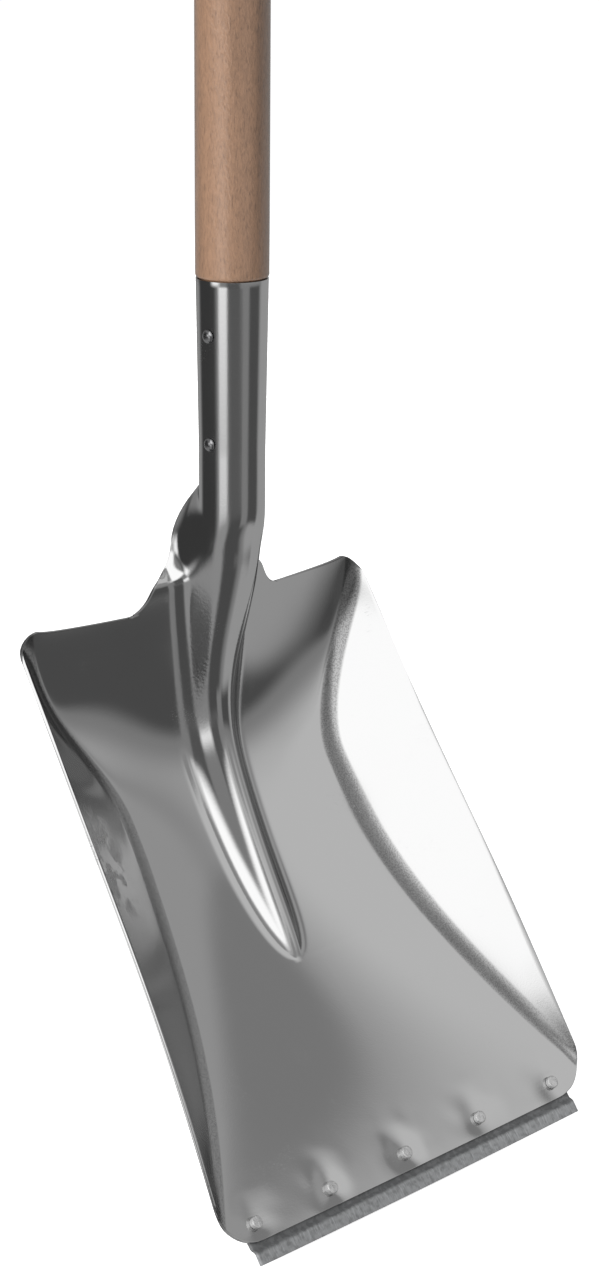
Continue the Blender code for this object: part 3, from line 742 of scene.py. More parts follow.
def combine(tree, x, y, z):
    """A vector field from three numbers."""
    return Field(add_node(tree, "ShaderNodeCombineXYZ", {0: x, 1: y, 2: z}).outputs[0])


def split(tree, vector):
    """The three numbers of a vector field."""
    node = add_node(tree, "ShaderNodeSeparateXYZ", {0: vector})
    return [Field(socket) for socket in node.outputs]


def vector_math(tree, operation, *values, scale=None):
    """A Vector Math node."""
    node = add_node(tree, "ShaderNodeVectorMath", dict(enumerate(values)), operation=operation)
    if scale is not None:
        feed(node.inputs["Scale"], scale)
    return Field(node.outputs["Vector"])


def position(tree):
    """Where each point is."""
    return Field(tree.nodes.new("GeometryNodeInputPosition").outputs[0])


def set_position(tree, geometry, place):
    """A geometry with its points moved to a place."""
    node = add_node(tree, "GeometryNodeSetPosition", {"Geometry": geometry, "Position": place})
    return Field(node.outputs[0])


def copies_at(tree, points, template, rotation):
    """Real copies of a template, one at each point."""
    original = add_node(tree, "GeometryNodeObjectInfo", {"Object": template})
    copies = add_node(tree, "GeometryNodeInstanceOnPoints",
                      {"Points": points, "Instance": Field(original.outputs["Geometry"]),
                       "Rotation": rotation})
    real = add_node(tree, "GeometryNodeRealizeInstances", {"Geometry": Field(copies.outputs[0])})
    return Field(real.outputs[0])


def face_group(blade):
    """Node group that gives the point of the blade's face for a section and a length."""
    tree, entry, leave, sizes = new_tree(
        "Blade face", [blade],
        inputs=[("Section", "NodeSocketFloat"), ("Length", "NodeSocketFloat")],
        outputs=[("Point", "NodeSocketVector")])
    point = face_point(sizes, Field(entry.outputs["Section"]), Field(entry.outputs["Length"]))
    feed(leave.inputs["Point"], combine(tree, *point))
    return tree


def press_group(blade, face):
    """Node group that presses flat points into the blade's shape."""
    tree, entry, leave, sizes = new_tree(
        "Press", [blade],
        inputs=[("Geometry", "NodeSocketGeometry")],
        outputs=[("Geometry", "NodeSocketGeometry"), ("Outward", "NodeSocketVector")])
    flat = position(tree)
    across, section, lift = split(tree, flat)
    side = reckon("SIGN", across)
    reach = reckon("ABSOLUTE", across)

    def face_at(section_place, length_place):
        node = use_group(tree, face, entry, {"Section": section_place, "Length": length_place})
        return Field(node.outputs["Point"])

    here = face_at(section, reach)
    along = vector_math(tree, "SUBTRACT", face_at(section + PROBE, reach), here)
    outwards = vector_math(tree, "SUBTRACT", face_at(section, reach + PROBE), here)
    normal = vector_math(tree, "NORMALIZE", vector_math(tree, "CROSS_PRODUCT", along, outwards))
    lifted = vector_math(tree, "ADD", here, vector_math(tree, "SCALE", normal, scale=lift))
    mirror = combine(tree, side, 1.0, 1.0)
    normal_side = combine(tree, side + (1.0 - reckon("ABSOLUTE", side)), 1.0, 1.0)
    point = vector_math(tree, "MULTIPLY", lifted, mirror)

    keep = add_node(tree, "GeometryNodeCaptureAttribute")
    keep.capture_items.new("VECTOR", "Outward")
    tree.links.new(entry.outputs["Geometry"], keep.inputs["Geometry"])
    feed(keep.inputs["Outward"], vector_math(tree, "MULTIPLY", normal, normal_side))
    store = add_node(tree, "GeometryNodeStoreNamedAttribute",
                     {"Geometry": Field(keep.outputs["Geometry"]), "Name": FLAT},
                     data_type="FLOAT_VECTOR", domain="POINT")
    feed(store.inputs["Value"], flat)
    down = most(blade_distance(sizes, section), 0.0)
    mark = add_node(tree, "GeometryNodeStoreNamedAttribute",
                    {"Geometry": Field(store.outputs[0]), "Name": FOLD},
                    data_type="FLOAT", domain="POINT")
    feed(mark.inputs["Value"], split(tree, here)[0] - crease_half(sizes, down))
    moved = set_position(tree, Field(mark.outputs[0]), point)
    flip = add_node(tree, "GeometryNodeFlipFaces", {"Mesh": moved})
    feed(leave.inputs["Geometry"], Field(flip.outputs[0]))
    feed(leave.inputs["Outward"], Field(keep.outputs["Outward"]))
    return tree


def close_tree(tree, leave, geometry, material):
    """Realise the instances, set the material and leave the tree."""
    real = add_node(tree, "GeometryNodeRealizeInstances", {"Geometry": geometry})
    paint = add_node(tree, "GeometryNodeSetMaterial",
                     {"Geometry": Field(real.outputs[0]), "Material": material})
    feed(leave.inputs["Geometry"], Field(paint.outputs[0]))


def rivet_distance(sizes, across, section):
    """Distance over the sheet to the nearest rivet of the mouth."""
    near = across - reckon("ROUND", across / sizes.pitch) * sizes.pitch
    down = blade_distance(sizes, section) - (sizes.blade_length - sizes.inset)
    return root(near * near + down * down)


def rivet_dimple(tree, sizes, across, section):
    """How far the riveting pulled the sheet back: a shallow dimple with uneven flanks."""
    share = rivet_distance(sizes, across, section) / sizes.dimple_reach
    uneven = noise(tree, combine(tree, across, section, 0.0), DIMPLE_WAVES, detail=0.0) - 0.5
    wide = share / DIMPLE_SPREAD
    return -sizes.dimple * (exponential(-(share * share))
                            + DIMPLE_UNEVEN * uneven * exponential(-(wide * wide)))


def pressed_tree(name, blade, rivets, press, material):
    """Tree that dimples a flat piece round the rivets and presses it."""
    tree, entry, leave, sizes = piece_tree(name, [blade, rivets])
    across, section, lift = split(tree, position(tree))
    dimple = rivet_dimple(tree, sizes, across, section)
    dimpled = set_position(tree, Field(entry.outputs["Geometry"]),
                           combine(tree, across, section, lift + dimple))
    pressed = use_group(tree, press, entry, {"Geometry": dimpled})
    close_tree(tree, leave, Field(pressed.outputs["Geometry"]), material)
    return tree


def hammered(tree, geometry, depth):
    """Uneven hammer marks over a realised mesh."""
    place = position(tree)
    normal = Field(tree.nodes.new("GeometryNodeInputNormal").outputs[0])
    push = (noise(tree, place, HAMMER_WAVES, detail=1.0) - 0.5) * depth
    marked = vector_math(tree, "ADD", place, vector_math(tree, "SCALE", normal, scale=push))
    return set_position(tree, geometry, marked)


def edge_rivet_tree(blade, rivets, press, template, material):
    """Tree that sets a rivet at each place along the mouth and hammers it."""
    tree, entry, leave, sizes = piece_tree("Rivets along the mouth", [blade, rivets])
    first = (sizes.count - 1.0) * sizes.pitch * -0.5
    line = add_node(tree, "GeometryNodeMeshLine",
                    {"Count": sizes.count, "Start Location": combine(tree, first, 0.0, 0.0),
                     "Offset": combine(tree, sizes.pitch, 0.0, 0.0)})
    across = split(tree, position(tree))[0]
    down = sizes.blade_length - sizes.inset
    section = section_at(sizes, down + bow_at(sizes, down, across))
    dimple = rivet_dimple(tree, sizes, across, section)
    placed = set_position(tree, Field(line.outputs[0]), combine(tree, across, section, dimple))
    pressed = use_group(tree, press, entry, {"Geometry": placed})
    turn = add_node(tree, "FunctionNodeAlignRotationToVector",
                    {"Vector": Field(pressed.outputs["Outward"])}, axis="Z")
    copies = copies_at(tree, Field(pressed.outputs["Geometry"]), template, Field(turn.outputs[0]))
    close_tree(tree, leave, hammered(tree, copies, sizes.hammering), material)
    return tree


def socket_rivet_tree(blade, rivets, template, material):
    """Tree that runs a rivet through the socket at each of its two places."""
    tree, _, leave, sizes = piece_tree("Rivets through the socket", [blade, rivets])
    line = add_node(
        tree, "GeometryNodeMeshLine",
        {"Count": 2,
         "Start Location": combine(tree, 0.0, -sizes.socket_forward, -sizes.socket_upper),
         "Offset": combine(tree, 0.0, 0.0, sizes.socket_upper - sizes.socket_lower)})
    copies = copies_at(tree, Field(line.outputs[0]), template, (0.0, pi / 2, 0.0))
    x, y, z = split(tree, position(tree))
    forward = sizes.socket_forward
    seat = root(power(socket_radius(sizes, -z), 2.0) - forward * forward)
    fitted = set_position(tree, copies, combine(tree, x + reckon("SIGN", x) * seat, y, z))
    close_tree(tree, leave, fitted, material)
    return tree


def handle_tree(blade, handle, material):
    """Tree that turns the handle along its own length."""
    tree, _, leave, sizes = piece_tree("Turned handle", [blade, handle])
    line = add_node(tree, "GeometryNodeCurvePrimitiveLine")
    dense = add_node(tree, "GeometryNodeResampleCurve",
                     {"Curve": Field(line.outputs[0]), "Count": TENON_STEPS + BODY_STEPS + 1})
    index = Field(add_node(tree, "GeometryNodeInputIndex").outputs[0])
    tenon_share = clip(index / TENON_STEPS, 0.0, 1.0)
    body_share = clip((index - TENON_STEPS) / BODY_STEPS, 0.0, 1.0)
    up_tenon = (1.0 - cosine(tenon_share * pi)) * 0.5
    up_body = (1.0 - cosine(body_share * pi)) * 0.5
    height = (up_tenon * (sizes.tenon + sizes.fit) - sizes.tenon
              + up_body * (sizes.above_rim - sizes.fit))
    placed = set_position(tree, Field(dense.outputs[0]), combine(tree, 0.0, 0.0, height))
    low = clip((sizes.fit + sizes.shoulder_round - height) / sizes.shoulder_round, 0.0, 1.0)
    high = clip((height - sizes.above_rim + sizes.end_round) / sizes.end_round, 0.0, 1.0)
    body = (sizes.radius - sizes.shoulder_round * (1.0 - root(1.0 - low * low))
            - sizes.end_round * (1.0 - root(1.0 - high * high)))
    inner = (socket_radius(sizes, -height) - sizes.sheet - sizes.fit
             - clip(sizes.tenon_chamfer - sizes.tenon - height, 0.0, sizes.tenon_chamfer))
    above = reckon("GREATER_THAN", index, TENON_STEPS)
    radius = inner + (body - inner) * above
    ring = add_node(tree, "GeometryNodeCurvePrimitiveCircle",
                    {"Resolution": HANDLE_STEPS, "Radius": 1.0})
    wood = add_node(tree, "GeometryNodeCurveToMesh",
                    {"Curve": placed, "Profile Curve": Field(ring.outputs[0]),
                     "Scale": radius, "Fill Caps": True})
    close_tree(tree, leave, Field(wood.outputs[0]), material)
    return tree


def run_tree(piece, tree, *groups):
    """Give a piece a node modifier with the groups' sizes, before it is first evaluated."""
    values = {prop.name: getattr(group, key) for group in groups for key, prop in sizes_of(group)}
    modifier = piece.modifiers.new(tree.name, "NODES")
    modifier.node_group = tree
    for item in tree.interface.items_tree:
        if item.item_type == "SOCKET" and item.in_out == "INPUT" and item.name in values:
            modifier[item.identifier] = values[item.name]


def finish_piece(piece, nodes):
    """Turn a piece's modifiers into a plain mesh, and let it stand for its modelled nodes."""
    graph = bpy.context.evaluated_depsgraph_get()
    mesh = bpy.data.meshes.new_from_object(piece.evaluated_get(graph), depsgraph=graph)
    piece.modifiers.clear()
    old = piece.data
    piece.data = mesh
    bpy.data.meshes.remove(old)
    mesh.name = piece.name
    if len(mesh.polygons) == 0:
        raise RuntimeError(f"{piece.name} came out empty")
    mesh.shade_smooth()
    mesh.set_sharp_from_angle(angle=SHARP_FROM)
    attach(piece, BODY)
    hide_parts(*nodes)


def round_edges(piece, width):
    """Round a piece's sharp edges."""
    bevel = piece.modifiers.new("rounded edges", "BEVEL")
    bevel.limit_method = "ANGLE"
    bevel.angle_limit = BEVEL_FROM
    bevel.width = width
    bevel.segments = EDGE_BEVEL_STEPS


def new_material(name, colour_value, metallic, roughness):
    """A Principled material. Returns it with its tree and shader."""
    material = bpy.data.materials.new(name)
    material.use_nodes = True
    shader = material.node_tree.nodes["Principled BSDF"]
    shader.inputs["Base Color"].default_value = (*colour_value, 1.0)
    shader.inputs["Metallic"].default_value = metallic
    shader.inputs["Roughness"].default_value = roughness
    return material, material.node_tree, shader


def object_place(tree):
    """Object coordinates."""
    return Field(tree.nodes.new("ShaderNodeTexCoord").outputs["Object"])


def flat_place(tree):
    """The piece's flat points."""
    node = add_node(tree, "ShaderNodeAttribute", attribute_name=FLAT)
    return Field(node.outputs["Vector"])


def noise(tree, vector, waves, detail=2.0, distortion=0.0):
    """Smooth noise from 0 to 1, with its waves to the metre as one number or one for each axis."""
    if isinstance(waves, tuple):
        stretched = add_node(tree, "ShaderNodeMapping", {"Vector": vector, "Scale": waves})
        vector, waves = Field(stretched.outputs[0]), 1.0
    node = add_node(tree, "ShaderNodeTexNoise",
                    {"Vector": vector, "Scale": waves, "Detail": detail,
                     "Distortion": distortion})
    return Field(node.outputs[0])


def fit_range(tree, value, low, high, to_low=0.0, to_high=1.0):
    """A value taken softly from one range to another."""
    node = add_node(tree, "ShaderNodeMapRange",
                    {"Value": value, "From Min": low, "From Max": high,
                     "To Min": to_low, "To Max": to_high}, interpolation_type="SMOOTHSTEP")
    return Field(node.outputs[0])


def soft_band(tree, value, low, high, softness):
    """1 between low and high, falling softly to 0 beyond them."""
    rise = fit_range(tree, value, low - softness / 2, low + softness / 2)
    fall = fit_range(tree, value, high - softness / 2, high + softness / 2)
    return rise * (1.0 - fall)


def mix_colour(tree, share, start, end):
    """A colour between two."""
    node = add_node(tree, "ShaderNodeMix", data_type="RGBA")
    feed(node.inputs[0], share)
    feed(node.inputs[6], start if isinstance(start, Field) else (*start, 1.0))
    feed(node.inputs[7], end if isinstance(end, Field) else (*end, 1.0))
    return Field(node.outputs[2])


def shade_of(share, paint):
    """A colour made darker or lighter."""
    return [share * value for value in paint]


def relief(tree, *layers):
    """Bumps laid one over another, each a height from 0 to 1 and its depth."""
    normal = None
    for height, depth in layers:
        node = add_node(tree, "ShaderNodeBump", {"Height": height, "Distance": depth})
        if normal is not None:
            feed(node.inputs["Normal"], normal)
        normal = Field(node.outputs[0])
    return normal


# Marks on the surfaces. A place is a range of (from, to), or a band of (from, to, softness), over
# the section, the length across the sheet or the distance out from the crease. Waves go to the
# metre, and a noise shows over its range, from none to all. A mark's roughness is added
MOST_OF_NOISE = (0.3, 0.7)              # where nearly all of a noise lies

# Plain aluminium: fine speckle and broad clouds
ALUMINIUM_ROUGHNESS = 0.075
SPECKLE_WAVES = 1200.0
SPECKLE_RANGE = (0.42, 0.62)
SPECKLE_DEPTH = 0.013 * MM
CLOUD_WAVES = 16.0
CLOUD_RANGE = (0.35, 0.70)
CLOUD_ROUGHNESS = 0.035

# Creases, the ridge's flanks and the mouth's corners: stretched by the press and rougher there;
# the creases and the mouth's corners also get painted shade in their colour
CREASE_OUT = (-4.5 * MM, 6.0 * MM, 2.0 * MM)
FLANK_ACROSS = (13.0 * MM, 34.0 * MM, 6.0 * MM)
FLANK_SECTIONS = (150.0 * MM, 250.0 * MM, 16.0 * MM)
FLANK_SHARE = 0.6                       # how stretched the flanks are beside the creases
CORNER_OUT = (-3.0 * MM, 1.5 * MM)
CORNER_SECTIONS = (495.0 * MM, 558.0 * MM)
STRETCHED_ROUGHNESS = 0.10
PEEL_WAVES = 620.0                      # the stretched sheet's uneven skin
PEEL_DEPTH = 0.060 * MM
CREASE_PEEL = 0.25                      # how much of it the creases have
FADING_SECTIONS = (180.0 * MM, 330.0 * MM)
CREASE_PAINTED_SHADE = (0.58, 0.30)          # painted shade in the creases, before and after they fade
# painted shade in the mouth's corners
CORNER_PAINTED_SHADE = 0.78
SPECKLE_IN_PAINTED_SHADE = 0.22                 # what the speckle adds to either painted shade
ALUMINIUM_IN_DEEPEST_PAINTED_SHADE = 0.15                # colour of the deepest painted shade, as a share of its plain colour

# Socket and neck: drawn lengthways
TUBE_SECTIONS = (130.0 * MM, 170.0 * MM)
TUBE_ROUGHNESS = 0.035
DRAWN_WAVES = (1500.0, 45.0, 1.0)
DRAWN_DEPTH = 0.010 * MM

# Rub marks, in scattered patches
RUB_WAVES = (420.0, 1500.0, 1.0)
RUB_RANGE = (0.56, 0.68)
RUB_PATCH_WAVES = 42.0
RUB_PATCH_RANGE = (0.60, 0.68)
RUB_ROUGHNESS = 0.16

# The scraped place on the left wall
SCRAPED_SECTIONS = (292.0 * MM, 348.0 * MM, 36.0 * MM)
SCRAPED_OUT = (26.0 * MM, 52.0 * MM, 18.0 * MM)
SCRAPED_ACROSS = (0.0, -1.0 * MM)       # the left half of the sheet
SCRAPE_PATCH_WAVES = 75.0
SCRAPE_PATCH_RANGE = (0.46, 0.60)
SCRAPE_WAVES = (700.0, 260.0, 1.0)
SCRAPE_DEPTH = 0.22 * MM
SCRAPE_ROUGHNESS = 0.20


def aluminium_material(finish):
    """Bare rolled aluminium: bright and finely grained, rougher where it was worked, with painted
    shade darkening the creases and the mouth's corners.
    """
    material, tree, shader = new_material("rolled_aluminium", finish.aluminium, metallic=1.0,
                                          roughness=ALUMINIUM_ROUGHNESS)
    place = object_place(tree)
    flat = flat_place(tree)
    across, section, _ = split(tree, flat)
    beyond = Field(add_node(tree, "ShaderNodeAttribute", attribute_name=FOLD).outputs["Fac"])
    crease = soft_band(tree, beyond, *CREASE_OUT)
    flank = (soft_band(tree, reckon("ABSOLUTE", across), *FLANK_ACROSS)
             * soft_band(tree, section, *FLANK_SECTIONS))
    corner = (fit_range(tree, section, *CORNER_SECTIONS)
              * fit_range(tree, beyond, *CORNER_OUT))
    stretched = least(crease + flank * FLANK_SHARE + corner, 1.0)
    tube = 1.0 - fit_range(tree, section, *TUBE_SECTIONS)

    speckle = noise(tree, place, SPECKLE_WAVES)
    peel = noise(tree, place, PEEL_WAVES, detail=1.0)
    drawn = noise(tree, flat, DRAWN_WAVES)
    cloud = noise(tree, place, CLOUD_WAVES, detail=3.0, distortion=0.6)
    rub = (fit_range(tree, noise(tree, flat, RUB_WAVES, detail=3.0), *RUB_RANGE)
           * fit_range(tree, noise(tree, place, RUB_PATCH_WAVES), *RUB_PATCH_RANGE))
    patches = fit_range(tree, noise(tree, place, SCRAPE_PATCH_WAVES, detail=3.0),
                        *SCRAPE_PATCH_RANGE)
    scraped = (soft_band(tree, section, *SCRAPED_SECTIONS) * soft_band(tree, beyond, *SCRAPED_OUT)
               * fit_range(tree, across, *SCRAPED_ACROSS) * patches)
    marks = noise(tree, flat, SCRAPE_WAVES, detail=4.0, distortion=1.5)

    rough = (ALUMINIUM_ROUGHNESS + fit_range(tree, cloud, *CLOUD_RANGE) * CLOUD_ROUGHNESS
             + stretched * STRETCHED_ROUGHNESS + rub * RUB_ROUGHNESS
             + scraped * SCRAPE_ROUGHNESS + tube * TUBE_ROUGHNESS)
    feed(shader.inputs["Roughness"], rough)
    # painted shade: the colour darkened along the creases and in the mouth's corners, with speckle
    # in it
    crease_painted_shade = fit_range(tree, section, *FADING_SECTIONS, *CREASE_PAINTED_SHADE)
    spots = fit_range(tree, speckle, *SPECKLE_RANGE) * SPECKLE_IN_PAINTED_SHADE
    dark = most(crease * (crease_painted_shade + spots), corner * (CORNER_PAINTED_SHADE + spots))
    feed(shader.inputs["Base Color"],
         mix_colour(tree, dark, finish.aluminium, shade_of(ALUMINIUM_IN_DEEPEST_PAINTED_SHADE, finish.aluminium)))
    feed(shader.inputs["Normal"],
         relief(tree, (speckle, SPECKLE_DEPTH),
                (peel * (flank * FLANK_SHARE + crease * CREASE_PEEL), PEEL_DEPTH),
                (drawn * tube, DRAWN_DEPTH), (marks * scraped, SCRAPE_DEPTH)))
    return material


# Zinc of the wear strip: streaks, blotches and painted shade in the joggle
ZINC_METALLIC = 0.45                    # the dull coating hides half of the metal's shine
ZINC_ROUGHNESS = (0.38, 0.58)
STREAK_WAVES = (1150.0, 110.0, 110.0)
STREAK_RANGE = (0.48, 0.70)
STREAK_DEPTH = 0.03 * MM
STREAK_BRIGHTNESS = 0.55
BLOTCH_WAVES = (330.0, 260.0, 260.0)
BLOTCH_RANGE = (0.40, 0.70)
BLOTCH_DARKNESS = 0.6
JOGGLE_SECTIONS = (574.0 * MM, 583.5 * MM, 2.5 * MM)
# painted shade in the joggle's recess
JOGGLE_PAINTED_SHADE = 0.75
DARKEST_ZINC = 0.45                     # of its plain colour, in the darkest blotches and the painted shade
BRIGHTEST_ZINC = 1.5


def zinc_material(finish):
    """Galvanised steel, matte grey, with fine lines across the strip and painted shade in the
    joggle.
    """
    material, tree, shader = new_material("galvanised_steel", finish.zinc, metallic=ZINC_METALLIC,
                                          roughness=ZINC_ROUGHNESS[1])
    flat = flat_place(tree)
    joggle = soft_band(tree, split(tree, flat)[1], *JOGGLE_SECTIONS)
    streak = noise(tree, flat, STREAK_WAVES, detail=3.0)
    blotch = noise(tree, flat, BLOTCH_WAVES, detail=4.0)
    # blotches of darker zinc, with painted shade in the joggle added
    shade = least(fit_range(tree, blotch, *BLOTCH_RANGE, 0.0, BLOTCH_DARKNESS)
                  + joggle * JOGGLE_PAINTED_SHADE, 1.0)
    dark = mix_colour(tree, shade, finish.zinc, shade_of(DARKEST_ZINC, finish.zinc))
    bright = fit_range(tree, streak, *STREAK_RANGE, 0.0, STREAK_BRIGHTNESS) * (1.0 - joggle)
    feed(shader.inputs["Base Color"],
         mix_colour(tree, bright, dark, shade_of(BRIGHTEST_ZINC, finish.zinc)))
    feed(shader.inputs["Roughness"], fit_range(tree, streak, *MOST_OF_NOISE, *ZINC_ROUGHNESS))
    feed(shader.inputs["Normal"], relief(tree, (streak, STREAK_DEPTH)))
    return material


def rivet_material(name, paint, metallic, waves, depth, roughness):
    """Steel of a rivet's head, finely marked, with its roughness from smoothest to roughest."""
    material, tree, shader = new_material(name, paint, metallic, roughness[0])
    marks = noise(tree, object_place(tree), waves)
    feed(shader.inputs["Normal"], relief(tree, (marks, depth)))
    feed(shader.inputs["Roughness"], fit_range(tree, marks, *MOST_OF_NOISE, *roughness))
    return material


# Beech of the handle: broad bands, curly figure, dark flecks and pores, all longest along z
BAND_WAVES = (75.0, 75.0, 4.0)
BAND_RANGE = (0.30, 0.75)
BAND_DARKNESS = 0.42
CURL_WAVES = (420.0, 420.0, 190.0)
CURL_DARKNESS = 0.30
CURL_DEPTH = 0.20 * MM
FLECK_WAVES = (1500.0, 1500.0, 260.0)
FLECK_RANGE = (0.52, 0.72)
FLECK_DARKNESS = 0.46
PORE_WAVES = (800.0, 800.0, 420.0)
PORE_DEPTH = 0.16 * MM
BEECH_ROUGHNESS = (0.34, 0.52)
BEECH_SHINE = {"Specular IOR Level": 0.8, "Coat Weight": 1.0, "Coat Roughness": 0.13,
               "Coat IOR": 1.7}


def beech_material(finish):
    """Steamed beech with short dark flecks along the grain, lightly oiled to a satin gloss."""
    material, tree, shader = new_material("beech", finish.beech, metallic=0.0,
                                          roughness=BEECH_ROUGHNESS[0])
    for name, value in BEECH_SHINE.items():
        shader.inputs[name].default_value = value
    place = object_place(tree)
    bands = noise(tree, place, BAND_WAVES, detail=3.0, distortion=0.4)
    curl = noise(tree, place, CURL_WAVES, detail=3.0, distortion=1.2)
    flecks = noise(tree, place, FLECK_WAVES)
    pores = noise(tree, place, PORE_WAVES)
    share = (fit_range(tree, bands, *BAND_RANGE, 0.0, BAND_DARKNESS)
             + fit_range(tree, curl, *MOST_OF_NOISE, 0.0, CURL_DARKNESS)
             + fit_range(tree, flecks, *FLECK_RANGE, 0.0, FLECK_DARKNESS))
    feed(shader.inputs["Base Color"], mix_colour(tree, share, finish.beech, finish.beech_dark))
    feed(shader.inputs["Roughness"], fit_range(tree, pores, *MOST_OF_NOISE, *BEECH_ROUGHNESS))
    normal = relief(tree, (curl, CURL_DEPTH), (pores, PORE_DEPTH))
    feed(shader.inputs["Normal"], normal)
    feed(shader.inputs["Coat Normal"], normal)
    return material


def make_blade(settings):
    """The pressed sheet."""
    blade, rivets = settings.shovel_blade, settings.shovel_rivets
    press = press_group(blade, face_group(blade))
    piece = blade_blank(blade)
    thick = piece.modifiers.new("thickness", "SOLIDIFY")
    thick.thickness = blade.sheet
    thick.offset = -1.0
    round_edges(piece, blade.edge_round)
    material = aluminium_material(settings.shovel_finish)
    run_tree(piece, pressed_tree("Pressed blade", blade, rivets, press, material), blade, rivets)
    finish_piece(piece, ["blade"])


def make_wear_strip(settings):
    """The joggled strip behind the mouth."""
    blade, strip, rivets = settings.shovel_blade, settings.shovel_strip, settings.shovel_rivets
    press = press_group(blade, face_group(blade))
    piece = strip_blank(blade, strip)
    round_edges(piece, strip.strip_round)
    material = zinc_material(settings.shovel_finish)
    run_tree(piece, pressed_tree("Pressed strip", blade, rivets, press, material), blade, rivets)
    finish_piece(piece, ["wear_strip"])


def make_edge_rivets(settings):
    """The hammered rivets along the mouth."""
    blade, strip, rivets = settings.shovel_blade, settings.shovel_strip, settings.shovel_rivets
    press = press_group(blade, face_group(blade))
    gap = rivets.rivet_clearance
    back = -(blade.sheet + strip.clearance + strip.thickness + gap)
    top = gap + rivets.head_height
    corner = HEAD_CORNER * rivets.head_height
    profile = [(rivets.head * share, top + HEAD_CROWN * corner * (1 - share))
               for share in np.linspace(0.0, HEAD_FLAT, HEAD_FLAT_POINTS)]
    profile += [(rivets.head - corner * (1 - np.sin(a)), top - corner * (1 - np.cos(a)))
                for a in np.linspace(ROUND_FROM, pi / 2, HEAD_CORNER_POINTS)]
    profile += [(rivets.head, gap), (rivets.shank, gap), (rivets.shank, back), (rivets.tail, back)]
    profile += [(rivets.tail * np.cos(a), back - rivets.tail_height * np.sin(a))
                for a in np.linspace(ROUND_FROM, pi / 2, DOME_STEPS)]
    profile[-1] = (0.0, profile[-1][1])
    template = turned("rivet_template", profile, RIVET_STEPS)
    piece = plain_object("edge_rivets", bmesh.new())
    material = rivet_material("hammered_rivet", settings.shovel_finish.rivet, metallic=0.7,
                              waves=900.0, depth=0.12 * MM, roughness=(0.25, 0.42))
    run_tree(piece, edge_rivet_tree(blade, rivets, press, template, material), blade, rivets)
    nodes = [f"edge_rivet_{k}" for k in range(1, rivets.count + 1)]
    finish_piece(piece, nodes)
    bpy.data.objects.remove(template)


def make_socket_rivets(settings):
    """The two domed rivets through the socket and the handle."""
    blade, rivets = settings.shovel_blade, settings.shovel_rivets
    seat = rivets.rivet_clearance
    dome = [(rivets.socket_head * np.cos(a), seat + rivets.socket_head_height * np.sin(a))
            for a in np.linspace(0.0, pi / 2, DOME_STEPS)]
    upper = dome[::-1] + [(rivets.socket_shank, seat)]
    upper[0] = (0.0, upper[0][1])
    profile = upper + [(radius, -height) for radius, height in reversed(upper)]
    template = turned("socket_rivet_template", profile, RIVET_STEPS)
    piece = plain_object("socket_rivets", bmesh.new())
    material = rivet_material("domed_rivet", settings.shovel_finish.dome, metallic=1.0,
                              waves=1500.0, depth=0.01 * MM, roughness=(0.18, 0.30))
    run_tree(piece, socket_rivet_tree(blade, rivets, template, material), blade, rivets)
    finish_piece(piece, ["socket_rivet_upper", "socket_rivet_lower"])
    bpy.data.objects.remove(template)


def make_handle(settings):
    """The turned wooden handle."""
    blade, handle = settings.shovel_blade, settings.shovel_handle
    piece = plain_object("beech_handle", bmesh.new())
    material = beech_material(settings.shovel_finish)
    run_tree(piece, handle_tree(blade, handle, material), blade, handle)
    finish_piece(piece, ["handle"])


# Camera, fitted to the photograph's view
CAMERA_TURN = radians(44.21986)         # to the left of straight in front of the blade
CAMERA_PITCH = radians(17.08027)        # looking down
CAMERA_ROLL = radians(0.49493)
CAMERA_DISTANCE = 1.431326
CAMERA_ASIDE = 0.038509                 # of the aim, to the camera's right
CAMERA_LOWER = 0.196797                 # of the aim, below the origin
CAMERA_LENS = 74.0851                   # millimetres, as the sensor is
SENSOR = 36.0


def camera_axes():
    """Right, up and back of the camera before its roll."""
    back = Vector((-np.sin(CAMERA_TURN) * np.cos(CAMERA_PITCH),
                   -np.cos(CAMERA_TURN) * np.cos(CAMERA_PITCH), np.sin(CAMERA_PITCH)))
    right = Vector((np.cos(CAMERA_TURN), -np.sin(CAMERA_TURN), 0.0))
    return right, back.cross(right), back


def set_camera():
    """The camera at the photograph's viewing angle."""
    right, up, back = camera_axes()
    place = back * CAMERA_DISTANCE + right * CAMERA_ASIDE - up * CAMERA_LOWER
    turned_right = right * np.cos(CAMERA_ROLL) + up * np.sin(CAMERA_ROLL)
    turned_up = up * np.cos(CAMERA_ROLL) - right * np.sin(CAMERA_ROLL)
    data = bpy.data.cameras.new("camera")
    data.lens = CAMERA_LENS
    data.sensor_width = SENSOR
    camera = bpy.data.objects.new("camera", data)
    bpy.context.collection.objects.link(camera)
    turn = Matrix((turned_right, turned_up, back)).transposed().to_4x4()
    camera.matrix_world = Matrix.Translation(place) @ turn
    bpy.context.scene.camera = camera


